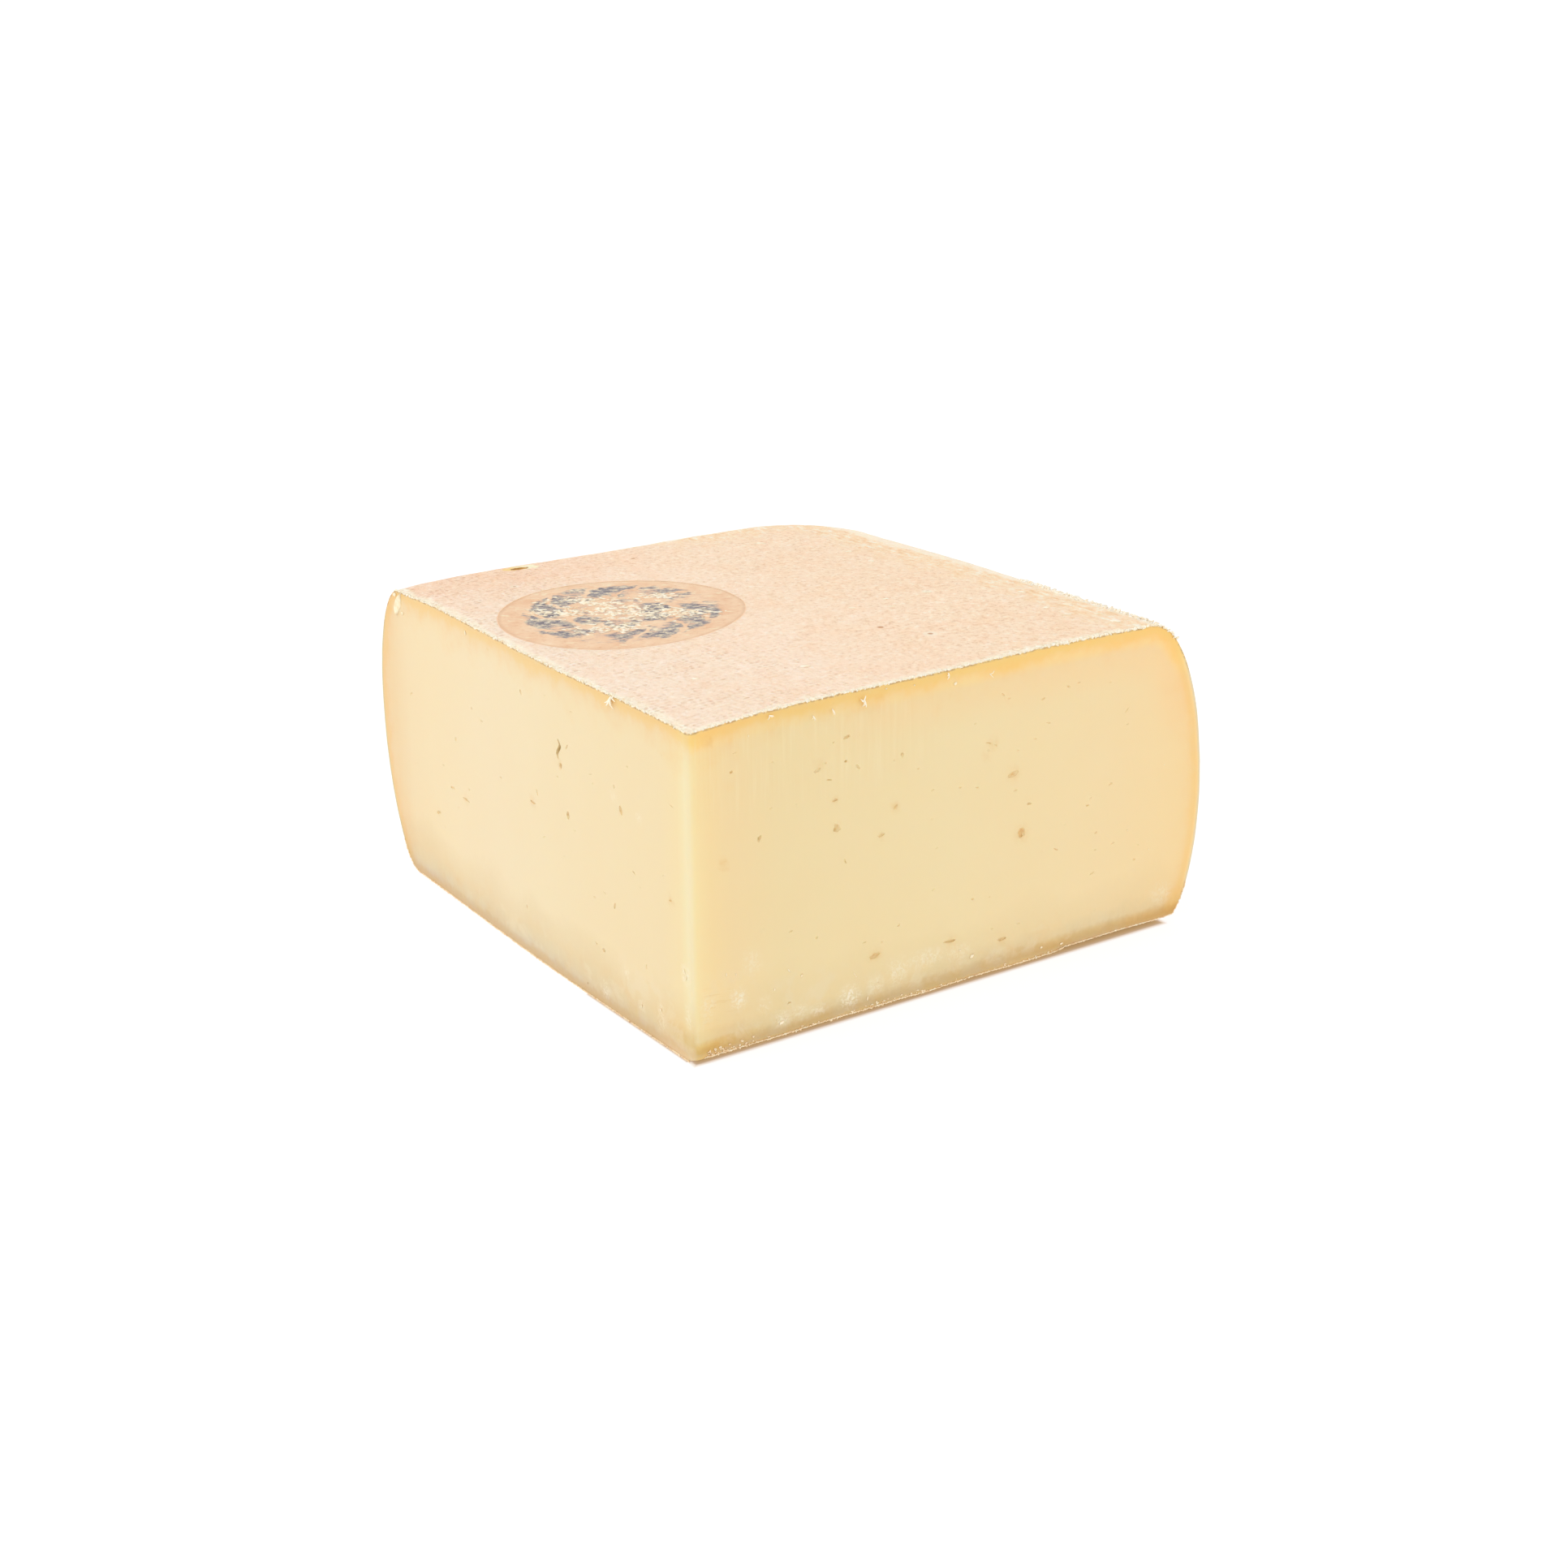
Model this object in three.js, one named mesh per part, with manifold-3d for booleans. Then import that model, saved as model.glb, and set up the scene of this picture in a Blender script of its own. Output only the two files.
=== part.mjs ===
// Quarter of a square pressed cheese with a washed rind, and the round label on its top.
// Millimetres, +Z up. +X runs along the right cut face and +Y along the left cut face.
// The solids are built with the whole cheese's axis at x = y = 0 and centred at the end.
import * as THREE from 'three';
import { mergeVertices } from 'three/addons/utils/BufferGeometryUtils.js';
import Module from 'manifold-3d';

// Plan of the whole cheese, from its axis to the widest line of its sides
const HALF_WIDTH_X = 145.4;
const HALF_WIDTH_Y = 149.8;
const SPREAD_X = 0.8; // how much farther out each side is where it meets the corner
const SPREAD_Y = 5.5;
const CORNER_RADIUS = 36;

// Side profile at the right cut and at the left cut: two quarter ellipses
const BELLY_HEIGHT = { right: 31.5, left: 44.5 };
const TOP_INSET = { right: 17.6, left: 13.4 };
const FOOT_INSET = { right: 10.6, left: 15.4 };
// The bottom rind rises towards the far end of the left cut face
const FOOT_RISE = { height: 2.8, start: 50, turn: 0.3 };

// Top face: dished towards the axis, a little higher at the far rim
const RIM_HEIGHT = 76.5;
const DISH_RIGHT = { depth: 2.8, reach: 23.5 };
const DISH_LEFT = { dimple: 0.6, dimpleReach: 8, slope: 2.2, slopeReach: 115 };
const FAR_RISE = { height: 1.4, reach: 120, blend: 0.35 };

// Slow swellings of the rind
const SWELL = 0.15;
const SWELL_WAVES = [
  [0.052, 0.031, 0.4],
  [-0.027, 0.064, 1.9],
  [0.081, -0.043, 3.1],
];
const SWELL_FADE = 12; // no swelling at the foot, full above this height

// Quarter cut from the whole
const CUT_EDGE_RADIUS = 1.8;
const CUT_REACH = 200;
const CUT_MARGIN = 20;
const FOOT_WEDGE = { height: 1.3, depth: 4 }; // missing below the right cut face, which curls up

// Round label, sunk level with the rind
const LABEL_CENTRE = [34.2, 84];
const LABEL_RADII = [29.8, 28.3];
const LABEL_THICKNESS = 0.7;
const LABEL_GAP = 0.3;

// Nick torn in the rind near the far top edge: centre x, y, and width, length, depth
const NICK = { x: 34.2, y: 136.2, width: 5.2, length: 2.4, depth: 1.8 };

// Eyes in the cut faces: distance from the axis, height, width, tallness, tilt in degrees
const RIGHT_EYES = [
  [17.0, 48.0, 1.1, 1.3, 0],
  [36.8, 46.0, 1.9, 2.0, 0],
  [36.7, 52.5, 1.7, 0.8, 0],
  [39.6, 66.1, 1.8, 0.9, 15],
  [54.5, 59.0, 1.1, 1.4, 20],
  [48.8, 41.7, 1.8, 0.9, -10],
  [86.0, 48.5, 3.2, 1.3, 8],
  [89.0, 33.5, 2.6, 2.3, 0],
  [47.2, 13.8, 2.8, 1.3, 10],
  [69.0, 12.0, 3.6, 1.0, -6],
  [84.0, 8.5, 2.8, 0.9, 0],
  [120.5, 57.8, 1.1, 2.3, -35],
];
const LEFT_EYES = [
  [56.1, 57.5, 1.8, 2.2, 30],
  [56.4, 55.3, 2.3, 1.9, -20],
  [55.0, 53.4, 1.5, 2.0, 35],
  [51.5, 58.2, 1.9, 0.9, -25],
  [52.2, 41.7, 2.5, 1.9, -20],
  [28.3, 49.7, 2.3, 1.5, -15],
  [72.7, 65.7, 1.6, 1.0, 30],
  [67.7, 42.7, 1.0, 2.2, 40],
  [69.0, 40.3, 2.6, 0.8, 10],
  [120.8, 22.7, 2.7, 0.9, -15],
  [104.3, 30.7, 3.0, 0.8, 6],
  [132.5, 51.1, 1.9, 0.8, -20],
  [32.4, 26.0, 0.9, 2.0, -30],
  [38.2, 13.7, 1.3, 1.0, 0],
];
const EYE_DEPTH = 0.7; // share of the mean width
const EYE_DETAIL = 1;

// Mesh steps
const SIDE_STEPS = 11;
const CORNER_STEPS = 14;
const TOP_RINGS = 14;
const SHOULDER_RINGS = 13;
const LOWER_RINGS = 10;
const BASE_RINGS = 5;
const CUT_EDGE_SEGMENTS = 6;
const LABEL_SEGMENTS = 56;
const LABEL_RINGS = 6;

const QUARTER_TURN = Math.PI / 2;

const wasm = await Module();
wasm.setup();

// ---- solids and meshes ----

function solidFromArrays(positions, triangles) {
  return new wasm.Manifold(
    new wasm.Mesh({
      numProp: 3,
      vertProperties: Float32Array.from(positions),
      triVerts: Uint32Array.from(triangles),
    }),
  );
}

function solidFromGeometry(geometry) {
  const bare = geometry.clone();
  bare.deleteAttribute('normal');
  bare.deleteAttribute('uv');
  const merged = mergeVertices(bare);
  return solidFromArrays(merged.attributes.position.array, merged.index.array);
}

function geometryFromSolid(solid) {
  const mesh = solid.getMesh();
  const geometry = new THREE.BufferGeometry();
  geometry.setAttribute('position', new THREE.BufferAttribute(mesh.vertProperties, 3));
  geometry.setIndex(new THREE.BufferAttribute(mesh.triVerts, 1));
  return geometry;
}

// Closed skin through stacked rings of equal length, with a single point at each end
function skinOfRings(rings, firstPoint, lastPoint) {
  const count = rings[0].length;
  const positions = [...firstPoint, ...rings.flat(2), ...lastPoint];
  const last = positions.length / 3 - 1;
  const triangles = [];
  for (let i = 0; i < count; i += 1) {
    const next = (i + 1) % count;
    triangles.push(0, 1 + next, 1 + i);
    for (let r = 0; r + 1 < rings.length; r += 1) {
      const a = 1 + r * count + i;
      const b = 1 + r * count + next;
      triangles.push(a, b, b + count, a, b + count, a + count);
    }
    const top = 1 + (rings.length - 1) * count;
    triangles.push(top + i, top + next, last);
  }
  return solidFromArrays(positions, triangles);
}

// ---- whole cheese ----

function smooth(value) {
  const t = THREE.MathUtils.clamp(value, 0, 1);
  return t * t * (3 - 2 * t);
}

// 0 over the right cut face, 1 over the left one
function turnShare(x, y) {
  return Math.atan2(Math.abs(y), Math.abs(x)) / QUARTER_TURN;
}

function swell(x, y, z) {
  const sum = SWELL_WAVES.reduce(
    (total, [kx, ky, phase]) => total + Math.sin(kx * x + ky * (y + z) + phase),
    0,
  );
  return SWELL * sum * smooth(z / SWELL_FADE);
}

function topHeight(x, y) {
  const r = Math.hypot(x, y);
  const turn = turnShare(x, y);
  const right = DISH_RIGHT.depth * Math.exp(-r / DISH_RIGHT.reach);
  const left =
    DISH_LEFT.dimple * Math.exp(-r / DISH_LEFT.dimpleReach) +
    DISH_LEFT.slope * Math.max(0, 1 - r / DISH_LEFT.slopeReach);
  const far = Math.max(0, Math.sin(Math.PI * turn)) ** FAR_RISE.blend;
  const rise = FAR_RISE.height * far * Math.min(1, r / FAR_RISE.reach) ** 2;
  return RIM_HEIGHT - THREE.MathUtils.lerp(right, left, turn) + rise;
}

function footHeight(x, y) {
  const away = (Math.abs(y) - FOOT_RISE.start) / (HALF_WIDTH_Y - FOOT_RISE.start);
  const nearLeft = (turnShare(x, y) - 1) / FOOT_RISE.turn + 1;
  return FOOT_RISE.height * smooth(away) * smooth(nearLeft);
}

// Widest line of one quarter: point and outward direction at each step
function quarterPlan() {
  const cornerX = HALF_WIDTH_X + SPREAD_X - CORNER_RADIUS;
  const cornerY = HALF_WIDTH_Y + SPREAD_Y - CORNER_RADIUS;
  const plan = [];
  for (let i = 0; i < SIDE_STEPS; i += 1) {
    const t = i / SIDE_STEPS;
    const x = HALF_WIDTH_X + SPREAD_X * Math.sin(QUARTER_TURN * t);
    plan.push({ x, y: cornerY * t, nx: 1, ny: 0 });
  }
  for (let i = 0; i < CORNER_STEPS; i += 1) {
    const angle = (QUARTER_TURN * i) / CORNER_STEPS;
    const nx = Math.cos(angle);
    const ny = Math.sin(angle);
    const x = cornerX + CORNER_RADIUS * nx;
    plan.push({ x, y: cornerY + CORNER_RADIUS * ny, nx, ny });
  }
  for (let i = 0; i <= SIDE_STEPS; i += 1) {
    const t = 1 - i / SIDE_STEPS;
    const y = HALF_WIDTH_Y + SPREAD_Y * Math.sin(QUARTER_TURN * t);
    plan.push({ x: cornerX * t, y, nx: 0, ny: 1 });
  }
  return plan;
}

function wholePlan() {
  const quarter = quarterPlan();
  const steps = quarter.length - 1;
  const plan = [];
  for (let i = 0; i < 4 * steps; i += 1) {
    const turn = Math.floor(i / steps);
    const step = i % steps;
    const point = quarter[turn % 2 === 0 ? step : steps - step];
    const sx = turn === 1 || turn === 2 ? -1 : 1;
    const sy = turn > 1 ? -1 : 1;
    plan.push({ x: sx * point.x, y: sy * point.y, nx: sx * point.nx, ny: sy * point.ny });
  }
  return plan;
}

function planPoint(point, inset, scale = 1) {
  return [(point.x - inset * point.nx) * scale, (point.y - inset * point.ny) * scale];
}

function betweenEnds(ends, point) {
  return THREE.MathUtils.lerp(ends.right, ends.left, smooth(turnShare(point.x, point.y)));
}

function shoulderPoint(point, angle, insets, edgeHeight) {
  const inset = betweenEnds(insets, point);
  const belly = betweenEnds(BELLY_HEIGHT, point);
  const edge = edgeHeight(...planPoint(point, inset));
  const [x, y] = planPoint(point, inset * (1 - Math.cos(angle)));
  const z = belly + (edge - belly) * Math.sin(angle);
  const out = swell(x, y, z);
  const side = out * Math.cos(angle);
  return [x + side * point.nx, y + side * point.ny, z + out * Math.sin(angle)];
}

function facePoint(point, scale, insets, height) {
  const [x, y] = planPoint(point, betweenEnds(insets, point), scale);
  return [x, y, height(x, y)];
}

function swollenTop(x, y) {
  return topHeight(x, y) + swell(x, y, topHeight(x, y));
}

function wholeCheese() {
  const plan = wholePlan();
  const rings = [];
  const addRing = (pointOf) => rings.push(plan.map(pointOf));
  for (let i = 1; i < BASE_RINGS; i += 1) {
    addRing((point) => facePoint(point, i / BASE_RINGS, FOOT_INSET, footHeight));
  }
  for (let i = LOWER_RINGS; i > 0; i -= 1) {
    const angle = (QUARTER_TURN * i) / LOWER_RINGS;
    addRing((point) => shoulderPoint(point, angle, FOOT_INSET, footHeight));
  }
  for (let i = 0; i < SHOULDER_RINGS; i += 1) {
    const angle = (QUARTER_TURN * i) / SHOULDER_RINGS;
    addRing((point) => shoulderPoint(point, angle, TOP_INSET, topHeight));
  }
  for (let i = TOP_RINGS; i > 0; i -= 1) {
    addRing((point) => facePoint(point, i / TOP_RINGS, TOP_INSET, swollenTop));
  }
  return skinOfRings(rings, [0, 0, 0], [0, 0, swollenTop(0, 0)]);
}

// ---- cuts ----

function quarterBlock() {
  const shape = new THREE.Shape();
  shape.moveTo(CUT_EDGE_RADIUS, 0);
  shape.lineTo(CUT_REACH, 0);
  shape.lineTo(CUT_REACH, CUT_REACH);
  shape.lineTo(0, CUT_REACH);
  shape.lineTo(0, CUT_EDGE_RADIUS);
  shape.absarc(CUT_EDGE_RADIUS, CUT_EDGE_RADIUS, CUT_EDGE_RADIUS, Math.PI, 3 * QUARTER_TURN);
  const block = new THREE.ExtrudeGeometry(shape, {
    depth: RIM_HEIGHT + 2 * CUT_MARGIN,
    bevelEnabled: false,
    curveSegments: CUT_EDGE_SEGMENTS,
  });
  return solidFromGeometry(block.translate(0, 0, -CUT_MARGIN));
}

// Slim wedge along X, drawn looking along X: into the cheese, then up
function footWedge() {
  const { height, depth } = FOOT_WEDGE;
  const shape = new THREE.Shape();
  shape.moveTo(-CUT_MARGIN, -CUT_MARGIN);
  shape.lineTo(depth, -CUT_MARGIN);
  shape.lineTo(depth, 0);
  shape.lineTo(0, height);
  shape.lineTo(-CUT_MARGIN, height);
  const wedge = new THREE.ExtrudeGeometry(shape, { depth: CUT_REACH, bevelEnabled: false });
  wedge.translate(0, 0, -CUT_MARGIN);
  const inwards = new THREE.Vector3(0, 1, 0);
  const up = new THREE.Vector3(0, 0, 1);
  const along = new THREE.Vector3(1, 0, 0);
  return solidFromGeometry(wedge.applyMatrix4(new THREE.Matrix4().makeBasis(inwards, up, along)));
}

// Rounded pocket centred on a face; "across" and "up" lie in the face
function pocket(centre, across, up, [width, tallness, depth], tilt) {
  const through = new THREE.Vector3().crossVectors(across, up);
  const place = new THREE.Matrix4().makeBasis(across, up, through).setPosition(centre);
  const ball = new THREE.IcosahedronGeometry(1, EYE_DETAIL);
  ball.scale(width / 2, tallness / 2, depth);
  ball.rotateZ(THREE.MathUtils.degToRad(tilt));
  return solidFromGeometry(ball.applyMatrix4(place));
}

function eyePockets(eyes, across) {
  const up = new THREE.Vector3(0, 0, 1);
  return eyes.map(([along, height, width, tallness, tilt]) => {
    const centre = across.clone().multiplyScalar(along).setZ(height);
    const depth = EYE_DEPTH * Math.sqrt(width * tallness);
    return pocket(centre, across, up, [width, tallness, depth], tilt);
  });
}

function nickPocket() {
  const centre = new THREE.Vector3(NICK.x, NICK.y, swollenTop(NICK.x, NICK.y));
  const across = new THREE.Vector3(1, 0, 0);
  const up = new THREE.Vector3(0, 1, 0);
  return pocket(centre, across, up, [NICK.width, NICK.length, NICK.depth], 0);
}

// ---- label ----

// Round plate that follows the top of the cheese, between two offsets from it
function labelPlate(grow, below, above) {
  const ringAt = (share, offset) =>
    Array.from({ length: LABEL_SEGMENTS }, (_, i) => {
      const angle = (4 * QUARTER_TURN * i) / LABEL_SEGMENTS;
      const x = LABEL_CENTRE[0] + (LABEL_RADII[0] + grow) * share * Math.cos(angle);
      const y = LABEL_CENTRE[1] + (LABEL_RADII[1] + grow) * share * Math.sin(angle);
      return [x, y, swollenTop(x, y) + offset];
    });
  const shares = Array.from({ length: LABEL_RINGS }, (_, i) => (i + 1) / LABEL_RINGS);
  const rings = [
    ...shares.map((share) => ringAt(share, below)),
    ...shares.toReversed().map((share) => ringAt(share, above)),
  ];
  const middle = swollenTop(...LABEL_CENTRE);
  return skinOfRings(
    rings,
    [...LABEL_CENTRE, middle + below],
    [...LABEL_CENTRE, middle + above],
  );
}

function labelRecess() {
  return labelPlate(LABEL_GAP, -LABEL_THICKNESS - LABEL_GAP, CUT_MARGIN);
}

// ---- parts ----

function cheeseSolid() {
  const cuts = [
    footWedge(),
    labelRecess(),
    nickPocket(),
    ...eyePockets(RIGHT_EYES, new THREE.Vector3(1, 0, 0)),
    ...eyePockets(LEFT_EYES, new THREE.Vector3(0, 1, 0)),
  ];
  const quarter = wholeCheese().intersect(quarterBlock());
  return cuts.reduce((solid, cut) => solid.subtract(cut), quarter);
}

function cheeseMaterial() {
  return new THREE.MeshStandardMaterial({ color: 0xf3dfb2, roughness: 0.55, metalness: 0 });
}

function labelMaterial() {
  return new THREE.MeshStandardMaterial({ color: 0xe6b48a, roughness: 0.7, metalness: 0 });
}

function namedMesh(name, solid, material) {
  const mesh = new THREE.Mesh(geometryFromSolid(solid), material);
  mesh.name = name;
  return mesh;
}

const cheese = namedMesh('cheese', cheeseSolid(), cheeseMaterial());
const label = namedMesh('label', labelPlate(0, -LABEL_THICKNESS, 0), labelMaterial());

// Origin under the middle of the cheese
cheese.geometry.computeBoundingBox();
const middle = cheese.geometry.boundingBox.getCenter(new THREE.Vector3());
for (const mesh of [cheese, label]) {
  mesh.geometry.translate(-middle.x, -middle.y, 0);
}

const group = new THREE.Group();
group.add(cheese, label);

export default group;
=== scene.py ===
# The frame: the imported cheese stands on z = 0, in metres. Its cut faces are the planes of its
# lowest x and lowest y, and they meet in the front edge. Every piece is shaped in millimetres
# from the foot of that edge, +X along the right cut and +Y along the left cut.
import math
import random

import bmesh
import bpy
import numpy as np
from mathutils import Matrix, Vector, noise
from mathutils.bvhtree import BVHTree


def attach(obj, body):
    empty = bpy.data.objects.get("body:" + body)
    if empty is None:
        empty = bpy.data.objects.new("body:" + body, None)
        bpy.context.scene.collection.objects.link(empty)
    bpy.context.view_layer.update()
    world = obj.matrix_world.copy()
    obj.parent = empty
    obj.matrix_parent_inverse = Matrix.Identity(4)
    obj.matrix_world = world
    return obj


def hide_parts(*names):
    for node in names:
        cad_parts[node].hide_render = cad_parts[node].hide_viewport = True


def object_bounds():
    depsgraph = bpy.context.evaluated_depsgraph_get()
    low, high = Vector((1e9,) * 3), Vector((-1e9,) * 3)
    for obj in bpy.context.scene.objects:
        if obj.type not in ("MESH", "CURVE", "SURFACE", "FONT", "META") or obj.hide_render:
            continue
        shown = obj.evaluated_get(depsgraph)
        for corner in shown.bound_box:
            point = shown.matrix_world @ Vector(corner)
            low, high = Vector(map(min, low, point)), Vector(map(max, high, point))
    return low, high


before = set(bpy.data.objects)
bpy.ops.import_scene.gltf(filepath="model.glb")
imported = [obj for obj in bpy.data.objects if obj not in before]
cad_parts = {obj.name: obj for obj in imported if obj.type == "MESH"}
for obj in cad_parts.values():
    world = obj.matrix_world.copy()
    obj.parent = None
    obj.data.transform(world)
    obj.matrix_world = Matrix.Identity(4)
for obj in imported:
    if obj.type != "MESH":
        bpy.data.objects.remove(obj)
cad_low, cad_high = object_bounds()
front_foot = Vector((cad_low.x, cad_low.y, 0))
MM = 0.001


# ---- Camera ----
# A 50 mm lens on a 36 mm wide sensor, a little above the cheese, looking at the front edge.
CAMERA_PLACE = Vector((-219.5, -356.9, 205.6))
CAMERA_HEADING = math.radians(55.757)  # from +X towards +Y
CAMERA_PITCH = math.radians(18.784)  # below the horizon
CAMERA_ROLL = math.radians(-0.58)

flat_ahead = Vector((math.cos(CAMERA_HEADING), math.sin(CAMERA_HEADING), 0))
flat_right = Vector((math.sin(CAMERA_HEADING), -math.cos(CAMERA_HEADING), 0))
ahead = math.cos(CAMERA_PITCH) * flat_ahead - math.sin(CAMERA_PITCH) * Vector((0, 0, 1))
level_up = math.sin(CAMERA_PITCH) * flat_ahead + math.cos(CAMERA_PITCH) * Vector((0, 0, 1))
right = math.cos(CAMERA_ROLL) * flat_right + math.sin(CAMERA_ROLL) * level_up
up = math.cos(CAMERA_ROLL) * level_up - math.sin(CAMERA_ROLL) * flat_right

lens = bpy.data.cameras.new("camera")
lens.lens = 50
lens.sensor_width = 36
lens.clip_start = 0.01
camera = bpy.data.objects.new("camera", lens)
camera.matrix_world = Matrix.Translation(front_foot + MM * CAMERA_PLACE) @ Matrix(
    (right, up, -ahead)
).transposed().to_4x4()
bpy.context.scene.collection.objects.link(camera)
bpy.context.scene.camera = camera


# ---- Floor and light ----
# A round white sweep, lit from below like a light table so that the shadow stays thin; where the cheese
# stands its glow is dimmed and tinted brown as a painted contact shadow. A large soft lamp on the left,
# weaker ones on the right and overhead.
SWEEP_REACH, SWEEP_BEND, SWEEP_RISE = 3.6, 1.0, 2.4
SWEEP_STEPS, BEND_STEPS = 72, 12
SWEEP_WHITE = 0.25
SWEEP_GLOW = (0.80, 0.90)  # near the cheese, at the far wall
GLOW_REACH = (350, 1500)  # millimetres
FOOT_NEAR, FOOT_FAR = (0.3, 0.5), (136.0, 126.0)  # corners of the mask
FOOT_SLANT = 0.12  # its left side runs in from the left cut, where the foot is lifted
# Glow colour by the distance outside the mask: brown inside it, a painted shadow under the lifted foot.
FOOT_SHADE = [  # millimetres outside the mask, glow
    (-3.0, (0.36, 0.22, 0.09, 1)),
    (-1.24, (0.46, 0.29, 0.125, 1)),
    (-0.37, (0.50, 0.34, 0.21, 1)),
    (0.1, (0.76, 0.63, 0.52, 1)),
    (1.1, (1, 1, 1, 1)),
]
# A thin painted contact shadow on the floor where the foot of the left cut touches down.
TOUCH_LOW, TOUCH_HIGH = (-0.35, 3.0), (0.9, 46.0)  # where the foot of the left cut touches down
TOUCH_SHADE = [(-0.35, (0.52, 0.33, 0.18, 1)), (0.35, (1, 1, 1, 1))]
SURROUND = 0.50
LAMPS = (
    # from the middle of the cheese in metres, side in metres, watts
    (Vector((-0.60, 0.10, 1.10)), 0.9, 5.4),
    (Vector((0.45, -0.70, 1.00)), 0.7, 1.6),
    (Vector((0.0, 0.0, 1.5)), 1.0, 1.6),
)


def srgb(red, green, blue):
    """A colour given as 0 to 255 on a screen, as light."""
    shares = [value / 255 for value in (red, green, blue)]
    return (*(s / 12.92 if s <= 0.04045 else ((s + 0.055) / 1.055) ** 2.4 for s in shares), 1)


class Nodes:
    """A tree of nodes; their inputs are values or the sockets of other nodes."""

    def plug(self, socket, value):
        if isinstance(value, bpy.types.NodeSocket):
            self.tree.links.new(value, socket)
        else:
            socket.default_value = value

    def node(self, kind, inputs, **settings):
        made = self.tree.nodes.new(kind)
        for name, value in settings.items():
            setattr(made, name, value)
        for key, value in inputs.items():
            self.plug(made.inputs[key], value)
        return made


class Finish(Nodes):
    """A material painted in layers, by place in millimetres from the foot of the front edge."""

    def __init__(self, name):
        self.material = bpy.data.materials.new(name)
        self.material.use_nodes = True
        self.tree = self.material.node_tree
        self.shader = self.tree.nodes["Principled BSDF"]
        whereabouts = self.node("ShaderNodeTexCoord", {}).outputs["Object"]
        scaled = {0: whereabouts, 1: (1 / MM,) * 3, 2: tuple(-front_foot / MM)}
        self.place = self.node("ShaderNodeVectorMath", scaled, operation="MULTIPLY_ADD").outputs[0]
        self.x, self.y, self.z = self.node("ShaderNodeSeparateXYZ", {0: self.place}).outputs

    def skin(self, **inputs):
        """Sets the shader's own sockets."""
        for name, value in inputs.items():
            self.plug(self.shader.inputs[name.replace("_", " ")], value)

    def maths(self, operation, *values):
        return self.node("ShaderNodeMath", dict(enumerate(values)), operation=operation).outputs[0]

    def times(self, first, *others):
        for other in others:
            first = self.maths("MULTIPLY", first, other)
        return first

    def spread(self, value, low, high, to_low=0.0, to_high=1.0, soft=True):
        """Low to high becomes to_low to to_high, level beyond both ends."""
        kind = "SMOOTHSTEP" if soft else "LINEAR"
        inputs = {"Value": value, "From Min": low, "From Max": high, "To Min": to_low, "To Max": to_high}
        return self.node("ShaderNodeMapRange", inputs, interpolation_type=kind).outputs[0]

    def layer(self, share, under, over, kind="MIX"):
        made = self.node(
            "ShaderNodeMix", {"Factor": share, 6: under, 7: over}, data_type="RGBA", blend_type=kind
        )
        return made.outputs[2]

    def blend(self, value, stops):
        """Colours along a value: (value, colour) stops in order."""
        low, high = stops[0][0], stops[-1][0]
        share = self.spread(value, low, high, soft=False)
        ramp = self.node("ShaderNodeValToRGB", {"Fac": share})
        line = ramp.color_ramp.elements
        while len(line) < len(stops):
            line.new(0.5)
        for point, (place, _) in zip(line, stops):
            point.position = (place - low) / (high - low)
        for point, (_, colour) in zip(line, stops):
            point.color = colour
        return ramp.outputs[0]


white_table = Finish("white_table")


def box_shade(finish, axes, lows, highs, stops):
    """Colour by the distance outside a box on the floor."""
    outside = []
    for axis, low, high in zip(axes, lows, highs):
        from_middle = finish.maths("ABSOLUTE", finish.maths("SUBTRACT", axis, (low + high) / 2))
        outside.append(finish.maths("SUBTRACT", from_middle, (high - low) / 2))
    return finish.blend(finish.maths("MAXIMUM", *outside), stops)


# The glow's colour carries the painted contact shadows of the foot.
slanted = white_table.maths("SUBTRACT", white_table.x, white_table.times(white_table.y, FOOT_SLANT))
painted_foot_shadow = box_shade(white_table, (slanted, white_table.y), FOOT_NEAR, FOOT_FAR, FOOT_SHADE)
painted_touch_shadow = box_shade(white_table, (white_table.x, white_table.y), TOUCH_LOW, TOUCH_HIGH, TOUCH_SHADE)
away = white_table.node("ShaderNodeVectorMath", {0: white_table.place}, operation="LENGTH").outputs["Value"]
glow_and_painted_shadow = white_table.layer(1.0, painted_foot_shadow, painted_touch_shadow, "MULTIPLY")
white_table.skin(
    Base_Color=(SWEEP_WHITE, SWEEP_WHITE, SWEEP_WHITE, 1),
    Roughness=0.9,
    Emission_Color=glow_and_painted_shadow,
    Emission_Strength=white_table.spread(away, *GLOW_REACH, *SWEEP_GLOW),
)
profile = [(SWEEP_REACH * share, 0.0) for share in (0.1, 0.4, 1.0)]
for bend in np.linspace(0, math.pi / 2, BEND_STEPS + 1)[1:]:
    profile.append((SWEEP_REACH + SWEEP_BEND * math.sin(bend), SWEEP_BEND * (1 - math.cos(bend))))
profile.append((SWEEP_REACH + SWEEP_BEND, SWEEP_RISE))
turns = np.linspace(0, 2 * math.pi, SWEEP_STEPS, endpoint=False)
sweep_points = [(r * math.cos(t), r * math.sin(t), z) for r, z in profile for t in turns]
sweep_faces = [tuple(range(SWEEP_STEPS))]
for ring in range(len(profile) - 1):
    for i in range(SWEEP_STEPS):
        j = (i + 1) % SWEEP_STEPS
        inner, outer = ring * SWEEP_STEPS, (ring + 1) * SWEEP_STEPS
        sweep_faces.append((inner + i, outer + i, outer + j, inner + j))
sweep_mesh = bpy.data.meshes.new("sweep")
sweep_mesh.from_pydata(sweep_points, [], sweep_faces)
sweep_mesh.shade_smooth()
sweep_mesh.materials.append(white_table.material)
sweep = bpy.data.objects.new("sweep", sweep_mesh)
bpy.context.scene.collection.objects.link(sweep)

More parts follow.
